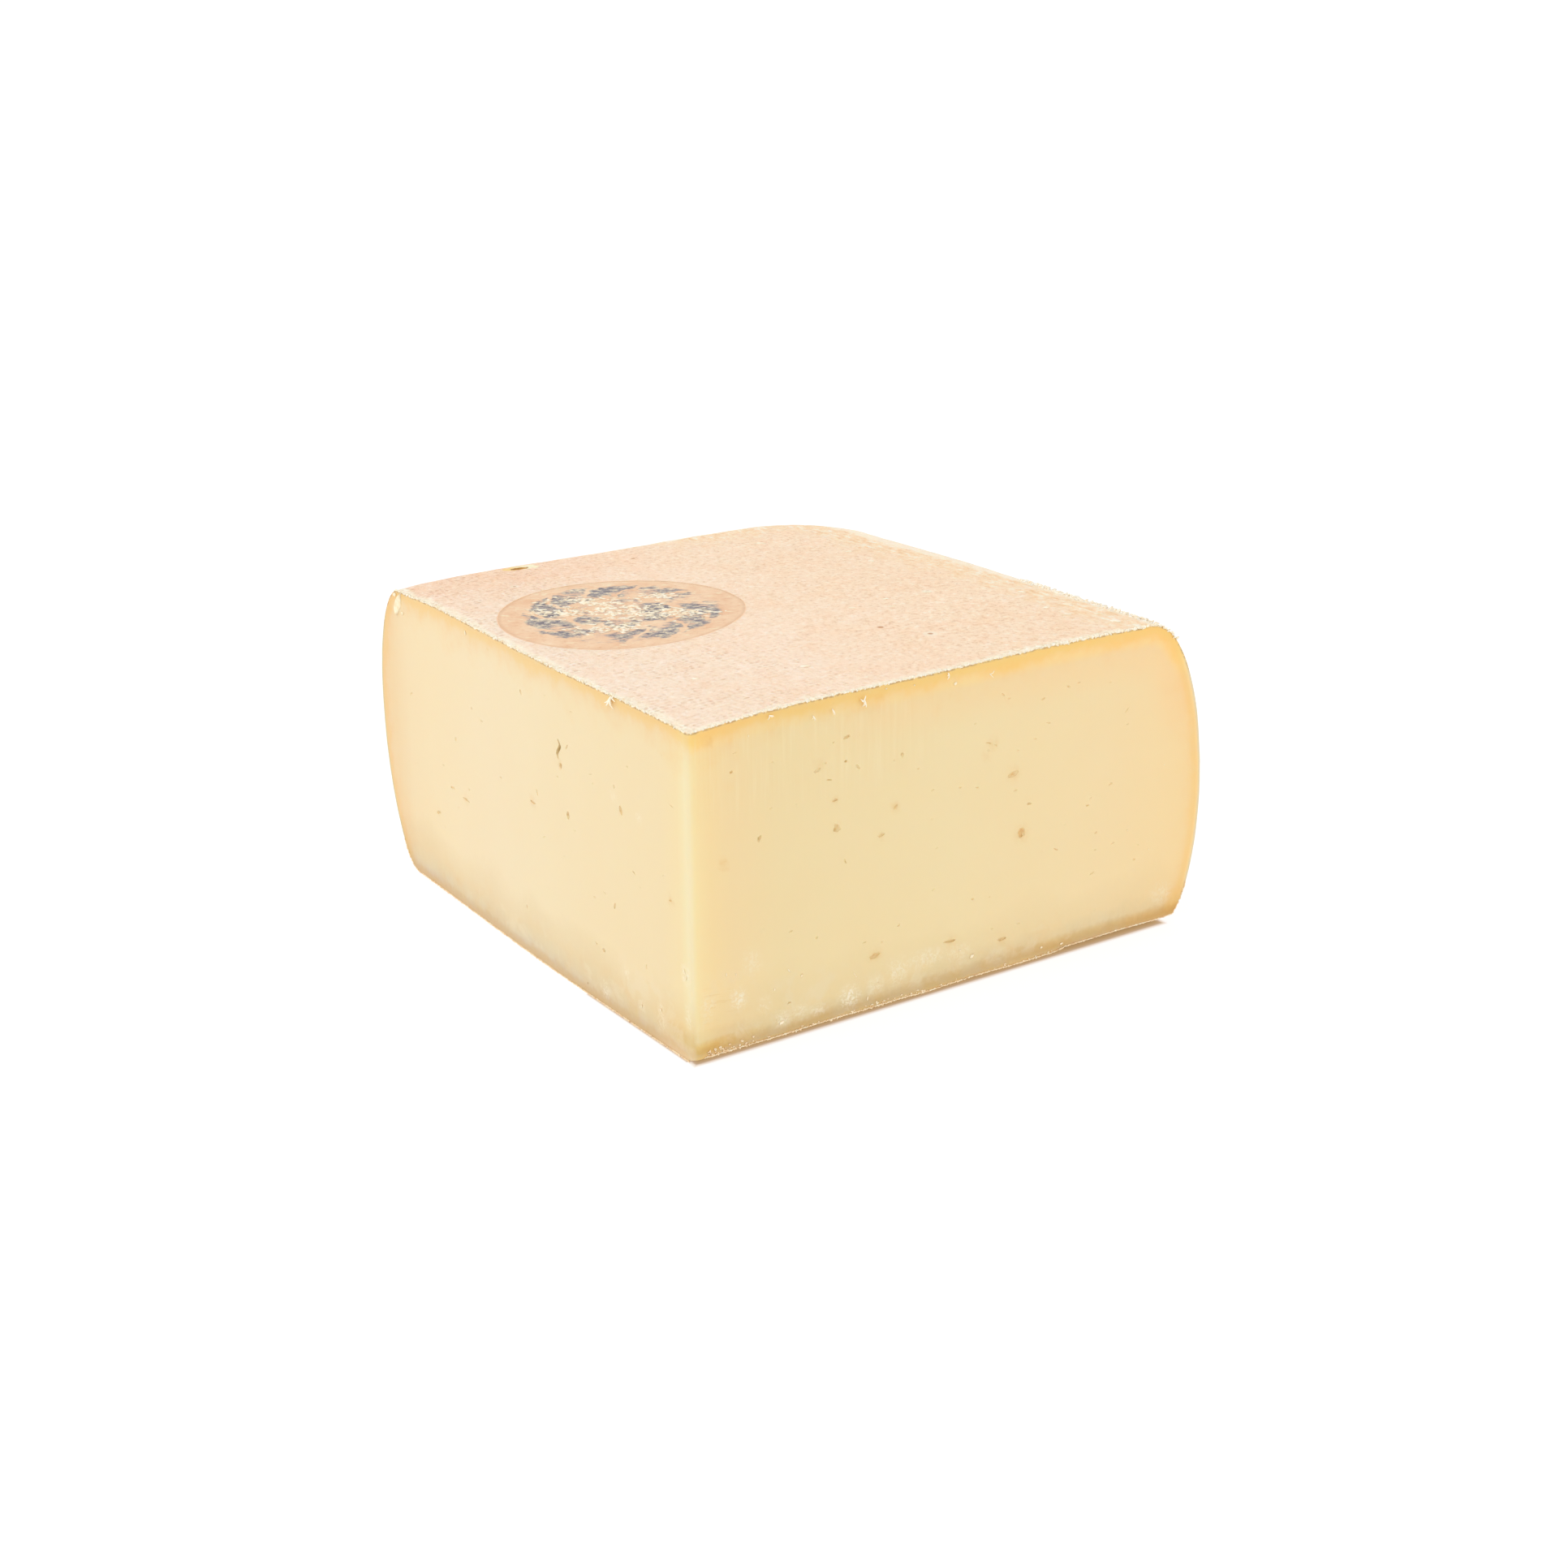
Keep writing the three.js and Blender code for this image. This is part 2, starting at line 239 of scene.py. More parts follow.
for number, (place, side, watts) in enumerate(LAMPS):
    lamp = bpy.data.lights.new(f"lamp_{number}", "AREA")
    lamp.shape = "SQUARE"
    lamp.size = side
    lamp.energy = watts
    holder = bpy.data.objects.new(f"lamp_{number}", lamp)
    holder.location = place
    holder.rotation_euler = (-place).to_track_quat("-Z", "Y").to_euler()
    holder.visible_camera = False
    bpy.context.scene.collection.objects.link(holder)

surround = bpy.data.worlds.new("surround")
surround.use_nodes = True
surround.node_tree.nodes["Background"].inputs["Color"].default_value = (1, 1, 1, 1)
surround.node_tree.nodes["Background"].inputs["Strength"].default_value = SURROUND
bpy.context.scene.world = surround
bpy.context.scene.view_settings.view_transform = "Standard"


# ---- Cheese ----
# A quarter of a square pressed cheese: pale elastic paste with a few small eyes inside a washed
# rind that took the print of the pressing cloth. The whole was cut twice with a wire, through
# its middle, so two faces show the paste and the other four are rind.
HALF_X, HALF_Y = 145.4, 149.8  # from the middle of the whole to the widest line of its sides
SPREAD_X, SPREAD_Y = 0.8, 5.5  # how much farther out the sides are at the corner
CORNER_RADIUS = 36.0
BELLY_HEIGHT = (31.5, 44.5)  # at the right cut, at the left cut
TOP_INSET = (17.6, 13.4)
FOOT_INSET = (10.6, 15.4)
FOOT_RISE, FOOT_RISE_START, FOOT_RISE_TURN = 2.3, 50.0, 0.3  # towards the far end of the left cut
RIM_HEIGHT = 76.5
RIGHT_DISH, RIGHT_DISH_REACH = 2.8, 23.5  # the top sinks towards the front edge
LEFT_DISH, LEFT_DISH_REACH = 0.6, 8.0
LEFT_SLOPE, LEFT_SLOPE_REACH = 2.2, 115.0
FAR_RISE, FAR_RISE_REACH = 1.4, 120.0  # and rises towards the far corner
SWELL, SWELL_FOOT = 0.15, 12.0
SWELL_WAVES = ((0.052, 0.031, 0.4), (-0.027, 0.064, 1.9), (0.081, -0.043, 3.1))
LUMPS, LUMPS_FOOT = ((0.11, 7.0), (0.05, 2.6)), 8.0  # height and width, both fade out at the foot
CUT_EDGE_RADIUS = 1.8
OVERCUT = 6.0  # the skin is made this much past both cuts, then cut

SIDE_X_STEPS, SIDE_Y_STEPS, HALF_CORNER_STEPS = 92, 98, 23
SHOULDER_ROWS, LOWER_ROWS = 40, 26


def ease(value):
    t = np.clip(value, 0, 1)
    return t * t * (3 - 2 * t)


def turn_share(x, y):
    """0 over the right cut, 1 over the left one."""
    return np.arctan2(np.abs(y), np.abs(x)) / (math.pi / 2)


def between(ends, x, y):
    return ends[0] + (ends[1] - ends[0]) * ease(turn_share(x, y))


def top_height(x, y):
    r = np.hypot(x, y)
    turn = turn_share(x, y)
    dish_right = RIGHT_DISH * np.exp(-r / RIGHT_DISH_REACH)
    slope = LEFT_SLOPE * np.maximum(0, 1 - r / LEFT_SLOPE_REACH)
    dish_left = LEFT_DISH * np.exp(-r / LEFT_DISH_REACH) + slope
    between_cuts = np.maximum(0, np.sin(math.pi * turn)) ** 0.35
    rise = FAR_RISE * between_cuts * np.minimum(1, r / FAR_RISE_REACH) ** 2
    return RIM_HEIGHT - (dish_right * (1 - turn) + dish_left * turn) + rise


def foot_height(x, y):
    away = (np.abs(y) - FOOT_RISE_START) / (HALF_Y - FOOT_RISE_START)
    near_left = (turn_share(x, y) - 1) / FOOT_RISE_TURN + 1
    return FOOT_RISE * ease(away) * ease(near_left)


def swell(x, y, z):
    waves = sum(np.sin(kx * x + ky * (y + z) + phase) for kx, ky, phase in SWELL_WAVES)
    return SWELL * waves * ease(z / SWELL_FOOT)


def lumps(points):
    """Small unevenness of the rind, fading out at the foot."""
    fine = [sum(high * noise.noise(Vector(p) / wide) for high, wide in LUMPS) for p in points]
    return np.array(fine) * ease(points[:, 2] / LUMPS_FOOT)


def plan_line():
    """Widest line of the quarter, with a margin past both cuts: points and outward normals."""
    corner_x = HALF_X + SPREAD_X - CORNER_RADIUS
    corner_y = HALF_Y + SPREAD_Y - CORNER_RADIUS
    along = np.linspace(-OVERCUT, corner_y, SIDE_X_STEPS + 1)[:-1]
    side_x = HALF_X + SPREAD_X * np.sin(np.abs(along) / corner_y * math.pi / 2)
    angle = np.linspace(0, math.pi / 2, 2 * HALF_CORNER_STEPS + 1)
    back = np.linspace(corner_x, -OVERCUT, SIDE_Y_STEPS + 1)[1:]
    side_y = HALF_Y + SPREAD_Y * np.sin(np.abs(back) / corner_x * math.pi / 2)
    points = np.vstack(
        (
            np.column_stack((side_x, along)),
            np.column_stack(
                (
                    corner_x + CORNER_RADIUS * np.cos(angle),
                    corner_y + CORNER_RADIUS * np.sin(angle),
                )
            ),
            np.column_stack((back, side_y)),
        )
    )
    normals = np.vstack(
        (
            np.tile((1.0, 0.0), (len(along), 1)),
            np.column_stack((np.cos(angle), np.sin(angle))),
            np.tile((0.0, 1.0), (len(back), 1)),
        )
    )
    return points, normals


def skin_row(points, normals, angle, upper):
    """One row of the side: 0 is the widest line, a quarter turn the edge of the top or foot."""
    x, y = points.T
    inset = between(TOP_INSET if upper else FOOT_INSET, x, y)
    belly = between(BELLY_HEIGHT, x, y)
    edge = points - inset[:, None] * normals
    edge_height = (top_height if upper else foot_height)(*edge.T)
    place = points - (inset * (1 - math.cos(angle)))[:, None] * normals
    z = belly + (edge_height - belly) * math.sin(angle)
    rise = 1 if upper else -1
    facing = np.column_stack((normals * math.cos(angle), np.full(len(x), rise * math.sin(angle))))
    row = np.column_stack((place, z))
    out = swell(*row.T) + lumps(row)
    return row + out[:, None] * facing


def rind_level(x, y, upper=True):
    """Height of the finished top or foot over plan points."""
    x, y = np.atleast_1d(x), np.atleast_1d(y)
    z = (top_height if upper else foot_height)(x, y)
    out = swell(x, y, z) + lumps(np.column_stack((x, y, z)))
    return z + out if upper else z - out


def patch_between(edges):
    """Grid of plan points inside four edges: near, far, left and right, all running outwards."""
    near, far, left, right_edge = edges
    u = np.linspace(0, 1, len(near))[None, :, None]
    v = np.linspace(0, 1, len(left))[:, None, None]
    ruled = (1 - v) * near[None] + v * far[None] + (1 - u) * left[:, None] + u * right_edge[:, None]
    corners = (
        (1 - u) * (1 - v) * near[0] + u * (1 - v) * near[-1] + (1 - u) * v * far[0] + u * v * far[-1]
    )
    return ruled - corners


def flat_patch(points, normals, insets):
    """Plan grid of the top or the bottom, inside its edge."""
    edge = points - between(insets, *points.T)[:, None] * normals
    middle = SIDE_X_STEPS + HALF_CORNER_STEPS
    right_edge, far = edge[: middle + 1], edge[middle:][::-1]
    corner = np.array((-OVERCUT, -OVERCUT))
    near = np.linspace(corner, edge[0], len(far))
    left = np.linspace(corner, edge[-1], len(right_edge))
    return patch_between((near, far, left, right_edge))


def quads(rows, columns, start=0, flip=False):
    faces = []
    for r in range(rows - 1):
        for c in range(columns - 1):
            a = start + r * columns + c
            face = (a, a + 1, a + columns + 1, a + columns)
            faces.append(face[::-1] if flip else face)
    return faces


def joined_mesh(name, blocks):
    """One welded mesh from (points, faces) blocks, each face counting from its block's start."""
    points, faces = [], []
    for block_points, block_faces in blocks:
        start = len(points)
        points.extend(map(tuple, block_points))
        faces.extend(tuple(start + i for i in face) for face in block_faces)
    mesh = bpy.data.meshes.new(name)
    mesh.from_pydata(points, [], faces)
    shape = bmesh.new()
    shape.from_mesh(mesh)
    bmesh.ops.remove_doubles(shape, verts=shape.verts, dist=1e-3)
    bmesh.ops.recalc_face_normals(shape, faces=shape.faces)
    shape.to_mesh(mesh)
    shape.free()
    return mesh


def cheese_skin():
    points, normals = plan_line()
    quarter = math.pi / 2
    rows = [skin_row(points, normals, quarter * i / LOWER_ROWS, False) for i in range(LOWER_ROWS, 0, -1)]
    rows += [skin_row(points, normals, quarter * i / SHOULDER_ROWS, True) for i in range(SHOULDER_ROWS + 1)]
    side = np.array(rows)
    top_plan = flat_patch(points, normals, TOP_INSET)
    base_plan = flat_patch(points, normals, FOOT_INSET)
    grid_rows, grid_columns = top_plan.shape[:2]
    top_level = rind_level(*top_plan.reshape(-1, 2).T).reshape(grid_rows, grid_columns)
    base_level = rind_level(*base_plan.reshape(-1, 2).T, upper=False).reshape(grid_rows, grid_columns)
    top = np.dstack((top_plan, top_level))
    base = np.dstack((base_plan, base_level))
    cap_right = np.vstack((base[0], side[:, 0], top[0][::-1]))
    cap_left = np.vstack((base[:, 0], side[:, -1], top[:, 0][::-1]))
    blocks = [
        (side.reshape(-1, 3), quads(*side.shape[:2])),
        (top.reshape(-1, 3), quads(grid_rows, grid_columns)),
        (base.reshape(-1, 3), quads(grid_rows, grid_columns, flip=True)),
        (cap_right, [tuple(range(len(cap_right)))]),
        (cap_left, [tuple(range(len(cap_left)))[::-1]]),
    ]
    return joined_mesh("skin", blocks)


# The wire's path: two faces and a rounded edge between them, gently wavy, pushed into the paste.
WIRE_STEP = 1.15
WIRE_DRIFT = 0.16
WIRE_WAVES = ((1.0, 31.0, 19.0), (0.4, 9.0, 5.0))  # share, length along the cut, length upwards
EDGE_STEPS = 7
RUN_END = 160.0  # past the far sides
BLOCK_REACH, BLOCK_TOP, BLOCK_FOOT = 175.0, 84.0, -5.0


def wire_drift(x, y, z):
    wave = sum(share * noise.noise(Vector((x / a, y / a, z / b))) for share, a, b in WIRE_WAVES)
    return WIRE_DRIFT * (0.5 + 0.5 * max(-1, min(1, wave)))


def edge_arc(steps):
    """The rounded front edge seen from above: points and outward normals, right cut to left cut."""
    angles = np.linspace(0, math.pi / 2, steps)
    points = [(CUT_EDGE_RADIUS * (1 - math.sin(a)), CUT_EDGE_RADIUS * (1 - math.cos(a))) for a in angles]
    return points, [(-math.sin(a), -math.cos(a)) for a in angles]


def quarter_block():
    arc, arc_normals = edge_arc(EDGE_STEPS)
    run = np.arange(CUT_EDGE_RADIUS + WIRE_STEP, RUN_END, WIRE_STEP)
    line = [(BLOCK_REACH, 0.0), *((s, 0.0) for s in run[::-1]), *arc, *((0.0, s) for s in run)]
    line.append((0.0, BLOCK_REACH))
    normals = [(0, -1)] * (len(run) + 1) + arc_normals + [(-1, 0)] * (len(run) + 1)
    heights = np.arange(BLOCK_FOOT, BLOCK_TOP + WIRE_STEP, WIRE_STEP)
    points = []
    for z in heights:
        for (x, y), (nx, ny) in zip(line, normals):
            push = wire_drift(x, y, z)
            points.append((x - nx * push, y - ny * push, z))
    points = np.array(points).reshape(len(heights), len(line), 3)
    far = [(BLOCK_REACH, BLOCK_REACH, heights[0]), (BLOCK_REACH, BLOCK_REACH, heights[-1])]
    low_cap = np.vstack((points[0], far[:1]))
    top_cap = np.vstack((points[-1], far[1:]))
    right_cap = np.vstack((points[:, 0], far[::-1]))
    left_cap = np.vstack((points[:, -1], far[::-1]))
    caps = [low_cap, top_cap, right_cap, left_cap]
    blocks = [(points.reshape(-1, 3), quads(*points.shape[:2]))]
    blocks += [(cap, [tuple(range(len(cap)))]) for cap in caps]
    return joined_mesh("block", blocks)


WEDGE_HEIGHT, WEDGE_DEPTH = 1.3, 4.0
WEDGE_STEP, WEDGE_STEP_AT = 0.6, (100.0, 104.0)
WEDGE_MARGIN = 8.0


def wedge_height(x):
    start, end = WEDGE_STEP_AT
    step = WEDGE_STEP * float(ease((x - start) / (end - start)))
    return WEDGE_HEIGHT * (1 + 0.25 * noise.noise(Vector((x / 14, 3, 1)))) + step


def foot_wedge():
    """Slim wavy wedge along the foot of the right cut, which curls up a little."""
    points = []
    stations = np.arange(-WEDGE_MARGIN, BLOCK_REACH, WIRE_STEP)
    for x in stations:
        height = wedge_height(x)
        slope = height / WEDGE_DEPTH
        points.append((x, -WEDGE_MARGIN, height + slope * WEDGE_MARGIN))
        points.append((x, -WEDGE_MARGIN, -WEDGE_MARGIN))
        points.append((x, WEDGE_DEPTH + WEDGE_MARGIN / slope, -WEDGE_MARGIN))
    faces = [(0, 1, 2), (len(points) - 1, len(points) - 2, len(points) - 3)]
    for a in range(0, len(points) - 3, 3):
        faces += [(a + i, a + (i + 1) % 3, a + 3 + (i + 1) % 3, a + 3 + i) for i in range(3)]
    return joined_mesh("wedge", [(np.array(points), faces)])


def carve(target, tool, operation):
    """The boolean of two closed meshes, as a new mesh; both are used up."""
    body = bpy.data.objects.new("body", target)
    cutter = bpy.data.objects.new("cutter", tool)
    for made in (body, cutter):
        bpy.context.scene.collection.objects.link(made)
    step = body.modifiers.new("cut", "BOOLEAN")
    step.operation = operation
    step.solver = "MANIFOLD"
    step.object = cutter
    seen = body.evaluated_get(bpy.context.evaluated_depsgraph_get())
    result = bpy.data.meshes.new_from_object(seen)
    for made in (body, cutter):
        bpy.data.objects.remove(made)
    for used in (target, tool):
        bpy.data.meshes.remove(used)
    return result


# Eyes: distance from the front edge, height, length, width, tilt, how dark (deeper, with more painted shade
# inside), and how orange.
RIGHT_EYES = (
    (10.4, 63.9, 0.9, 0.7, 16, 0.83, 0.1),
    (17.1, 48.0, 1.6, 0.9, 66, 0.51, 0.0),
    (20.1, 54.0, 0.8, 0.5, 22, 0.3, 0.5),
    (20.5, 64.1, 0.8, 0.4, -11, 0.23, 0.3),
    (24.3, 8.4, 1.1, 0.5, 10, 0.42, 0.7),
    (24.9, 25.0, 1.3, 0.4, 11, 0.49, 0.4),
    (26.5, 53.6, 0.7, 0.4, -12, 0.23, 0.5),
    (27.7, 14.3, 0.7, 0.4, -14, 0.04, 0.5),
    (31.7, 21.9, 0.9, 0.6, 23, 0.45, 0.5),
    (31.9, 60.0, 1.8, 0.9, 17, 0, 0.2),
    (34.2, 61.3, 0.7, 0.5, 8, 0.19, 0.3),
    (35.2, 57.3, 1.6, 0.4, -11, 0.28, 0.3),
    (36.3, 65.5, 0.7, 0.4, 22, 0.35, 0.2),
    (36.7, 52.4, 1.7, 0.6, 8, 0.51, 0.9),
    (37.0, 46.0, 2.1, 1.8, -80, 0.04, 0.4),
    (39.3, 37.9, 1.4, 0.5, -62, 0.28, 0.2),
    (39.5, 60.6, 0.9, 0.7, 0, 0.71, 0.1),
    (39.7, 66.0, 1.9, 0.8, 13, 0.24, 0.1),
    (42.7, 58.8, 1.7, 0.7, -49, 0.19, 0.3),
    (44.5, 17.6, 1.2, 0.4, 1, 0.02, 0.5),
    (47.4, 13.7, 3.1, 1.3, 11, 0, 0.9),
    (48.3, 7.0, 0.7, 0.4, -7, 0.25, 0.5),
    (49.0, 41.8, 2.1, 0.9, 11, 0, 0.6),
    (49.3, 16.5, 0.8, 0.4, 5, 0.28, 0.5),
    (52.9, 47.6, 1.5, 0.8, 31, 0, 0.9),
    (52.3, 58.4, 0.9, 0.4, -5, 0.09, 0.4),
    (54.0, 19.4, 1.0, 0.6, 21, 0.56, 0.5),
    (54.6, 59.2, 1.4, 0.9, -83, 0.21, 0.2),
    (59.0, 55.2, 1.1, 0.5, 0, 0.18, 0.4),
    (62.2, 9.7, 0.9, 0.4, 2, 0.15, 0.5),
    (63.1, 49.3, 1.2, 0.5, 13, 0.19, 0.4),
    (68.6, 11.9, 3.8, 0.9, -4, 0, 0.7),
    (71.0, 48.4, 1.1, 0.7, 5, 0.34, 0.5),
    (74.8, 62.6, 0.8, 0.4, -10, 0.19, 0.4),
    (75.1, 20.7, 0.9, 0.5, -13, 0.64, 0.4),
    (75.9, 47.4, 1.3, 0.4, -4, 0.26, 0.4),
    (78.8, 55.6, 1.1, 0.4, -11, 0.13, 0.8),
    (78.9, 57.3, 1.9, 0.35, -15, 0.27, 0.9),
    (81.0, 56.4, 1.0, 0.6, -24, 0.35, 0.6),
    (81.0, 12.0, 0.8, 0.4, -14, 0.34, 0.6),
    (82.7, 67.9, 1.4, 0.35, -41, 0.27, 0.5),
    (84.1, 8.7, 2.7, 0.9, 1, 0, 0.4),
    (84.4, 66.7, 1.0, 0.4, -5, 0.11, 0.4),
    (86.3, 48.5, 3.3, 1.2, 11, 0.02, 0.9),
    (87.0, 44.5, 1.3, 0.6, 5, 0.02, 0.4),
    (87.5, 53.9, 0.8, 0.6, -11, 0.27, 0.4),
    (89.2, 33.7, 2.7, 2.2, -84, 0, 1.0),
    (88.9, 11.4, 1.2, 0.4, -9, 0.11, 0.4),
    (91.3, 40.4, 1.5, 0.6, -3, 0.65, 0.3),
    (92.5, 55.7, 1.1, 0.4, -11, 0.27, 0.5),
    (94.5, 64.8, 1.4, 0.6, 16, 0.16, 0.4),
    (96.4, 58.8, 1.4, 0.4, -14, 0.27, 0.4),
    (99.8, 27.4, 1.6, 0.4, -28, 0.28, 0.3),
    (102.1, 66.4, 1.3, 0.4, -23, 0.4, 0.4),
    (105.2, 66.8, 1.1, 0.4, 7, 0.17, 0.4),
    (109.2, 36.3, 1.2, 0.6, 2, 0.47, 0.3),
    (110.2, 37.9, 1.4, 0.4, 33, 0.17, 0.3),
    (111.4, 18.8, 1.8, 0.5, 15, 0.08, 0.4),
    (112.2, 24.6, 1.2, 0.4, 0, 0.25, 0.4),
    (112.2, 28.9, 0.9, 0.6, 31, 0.61, 0.5),
    (114.8, 65.3, 1.0, 0.4, -3, 0.06, 0.4),
    (116.2, 40.2, 1.6, 0.7, 9, 0.07, 0.3),
    (117.7, 25.0, 1.3, 0.4, 10, 0.29, 0.4),
    (120.5, 57.5, 2.4, 0.45, 48, 0, 0.7),
    (120.9, 54.1, 0.9, 0.6, -10, 0.27, 0.5),
    (124.9, 19.3, 1.0, 0.6, -13, 0.43, 0.5),
    (125.9, 22.8, 0.8, 0.4, -8, 0.27, 0.4),
)
LEFT_EYES = (
    (54.6, 52.7, 1.5, 1.0, 85, 0.53, 1.0),
    (51.3, 58.0, 1.9, 0.6, -46, 0.24, 0.2),
    (52.2, 41.6, 2.1, 1.5, 85, 0.21, 0.2),
    (28.2, 49.6, 2.3, 1.4, 65, 0, 0.1),
    (30.8, 54.3, 1.0, 0.7, 80, 0.64, 0.3),
    (72.4, 65.7, 1.6, 0.8, 54, 0.45, 0.3),
    (66.6, 43.1, 1.7, 0.6, 65, 0.3, 0.3),
    (68.9, 40.0, 2.8, 0.7, 3, 0.16, 0.8),
    (32.2, 26.2, 1.9, 0.8, -65, 0, 0.2),
    (38.0, 13.6, 1.4, 1.0, 0, 0.55, 0.3),
    (41.3, 14.2, 1.2, 0.7, 26, 0.22, 0.8),
    (19.4, 16.1, 1.5, 0.8, -87, 0, 0.1),
    (120.5, 22.7, 2.6, 0.8, -15, 0.05, 0.4),
    (104.2, 30.7, 3.6, 0.7, 8, 0, 0.5),
    (111.5, 31.8, 2.6, 0.6, -5, 0.19, 0.4),
    (132.4, 51.1, 1.6, 0.6, -31, 0.2, 0.4),
    (108.1, 45.3, 1.2, 1.0, -83, 0.29, 0.4),
    (93.3, 53.6, 1.8, 0.6, 0, 0, 0.4),
    (98.3, 55.5, 1.2, 0.7, 4, 0.1, 0.4),
    (84.8, 41.7, 1.6, 0.6, -10, 0.1, 0.4),
    (102.2, 33.9, 1.2, 0.7, -3, 0.06, 0.4),
    (116.0, 36.5, 1.4, 0.6, -12, 0.11, 0.4),
    (74.5, 12.2, 1.1, 0.8, -84, 0.19, 0.4),
    (23.4, 36.8, 1.6, 0.6, 20, 0.04, 0.4),
    (24.8, 60.5, 1.0, 0.4, -15, 0.3, 0.4),
    (7.0, 56.6, 2.0, 0.4, 7, 0.02, 0.4),
    (10.4, 66.8, 0.8, 0.5, 20, 0.17, 0.4),
    (11.2, 39.9, 0.9, 0.4, -17, 0.04, 0.4),
    (8.5, 35.2, 1.2, 0.6, -10, 0.18, 1.0),
    (36.6, 27.9, 1.6, 0.35, 7, 0, 0.4),
    (40.1, 52.5, 0.9, 0.6, -86, 0.04, 0.4),
    (41.0, 54.4, 1.9, 0.35, -12, 0.19, 0.7),
    (41.2, 25.4, 1.0, 0.5, -3, 0.04, 0.4),
    (46.2, 2.6, 1.0, 0.7, 0, 0.34, 0.4),
    (49.2, 38.8, 1.0, 0.4, -19, 0.21, 0.4),
    (54.9, 30.9, 1.0, 0.4, -17, 0.13, 0.4),
    (56.3, 49.7, 1.3, 0.5, -15, 0.13, 0.2),
    (60.8, 67.6, 0.9, 0.4, -25, 0.15, 0.4),
    (64.1, 32.9, 1.2, 0.4, -22, 0.09, 0.4),
    (81.4, 17.5, 0.9, 0.4, -25, 0.15, 0.4),
    (87.9, 72.3, 1.1, 0.5, 26, 0.04, 0.5),
    (89.0, 60.1, 0.7, 0.4, -13, 0.09, 0.4),
)
LEFT_CRACK = (55.3, 56.5, 4.9, 1.1, 97, 0.62, 0.1)
CRACK_SWAY = 0.55
STRAY_EYES = 10  # further pinpricks on each face, of random size and place
STRAY_SEED = 11
STRAY_HEIGHTS = (9, 69)
STRAY_REACH = (6, 132, 134)  # nearest to the front edge, farthest on the right and on the left face
STRAY_CLEAR = 3.5
EYE_DEPTH = (0.26, 0.62)  # share of the mean width, for a pale and a dark one
EYE_LUMPS = 0.42


def pocket(eye, on_left, sway=0.0):
    """A lumpy blind hole centred on a cut face."""
    across, height, length, width, tilt, dark, _ = eye
    size = math.sqrt(length * width)
    shape = bmesh.new()
    bmesh.ops.create_icosphere(shape, subdivisions=3 if size > 1.2 else 2, radius=1)
    turn = math.radians(tilt)
    for corner in shape.verts:
        p = corner.co * (1 + EYE_LUMPS * noise.noise(corner.co * 1.9 + Vector((across, height, 7))))
        u = p.x * length / 2
        v = p.y * width / 2 + sway * math.sin(3.7 * p.x + 0.4)
        u, v = u * math.cos(turn) - v * math.sin(turn), u * math.sin(turn) + v * math.cos(turn)
        w = p.z * size * (EYE_DEPTH[0] + dark * (EYE_DEPTH[1] - EYE_DEPTH[0]))
        corner.co = (w, across + u, height + v) if on_left else (across + u, w, height + v)
    points = [tuple(corner.co) for corner in shape.verts]
    faces = [tuple(corner.index for corner in face.verts) for face in shape.faces]
    shape.free()
    return points, faces


def stray_eyes(known, reach, rng):
    """Pinpricks that keep clear of the eyes already there."""
    found = []
    while len(found) < STRAY_EYES:
        place = (rng.uniform(STRAY_REACH[0], reach), rng.uniform(*STRAY_HEIGHTS))
        if min(math.dist(place, other[:2]) for other in (*known, *found)) > STRAY_CLEAR:
            sizes = (rng.uniform(0.5, 1.1), rng.uniform(0.3, 0.4), rng.uniform(-35, 35))
            found.append((*place, *sizes, 0.1, 0.4))
    return found


rng = random.Random(STRAY_SEED)
right_eyes = [*RIGHT_EYES, *stray_eyes(RIGHT_EYES, STRAY_REACH[1], rng)]
left_eyes = [*LEFT_EYES, *stray_eyes(LEFT_EYES, STRAY_REACH[2], rng)]
eye_blocks = [pocket(eye, on_left=False) for eye in right_eyes]
eye_blocks += [pocket(eye, on_left=True) for eye in left_eyes]
eye_blocks.append(pocket(LEFT_CRACK, on_left=True, sway=CRACK_SWAY))
left_eyes.append(LEFT_CRACK)

# The label's seat and a nick torn in the rind by the far top edge.
LABEL_CENTRE = (34.2, 84.0)
LABEL_RADII = (29.8, 28.3)
LABEL_POINTS = 180
LABEL_WOBBLES = ((0.22, 3, 5), (0.10, 19, 2))  # depth, waves round the edge, place in the noise
SEAT_DEPTH = 0.45
SEAT_GAP = 0.12
NICK_CENTRE = (34.2, 136.2)
NICK_SIZE = (2.6, 1.2, 1.7)
NICK_LUMPS = 0.35


def label_outline(grow, share=1.0):
    """Nearly round: the edge of a label is never quite even."""
    angle = np.linspace(0, 2 * math.pi, LABEL_POINTS, endpoint=False)
    wobble = np.zeros(LABEL_POINTS)
    for deep, waves, place in LABEL_WOBBLES:
        ring = [Vector((waves * math.cos(a), waves * math.sin(a), place)) for a in angle]
        wobble += [deep * noise.noise(point) for point in ring]
    x = LABEL_CENTRE[0] + (LABEL_RADII[0] + grow + wobble) * share * np.cos(angle)
    y = LABEL_CENTRE[1] + (LABEL_RADII[1] + grow + wobble) * share * np.sin(angle)
    return x, y


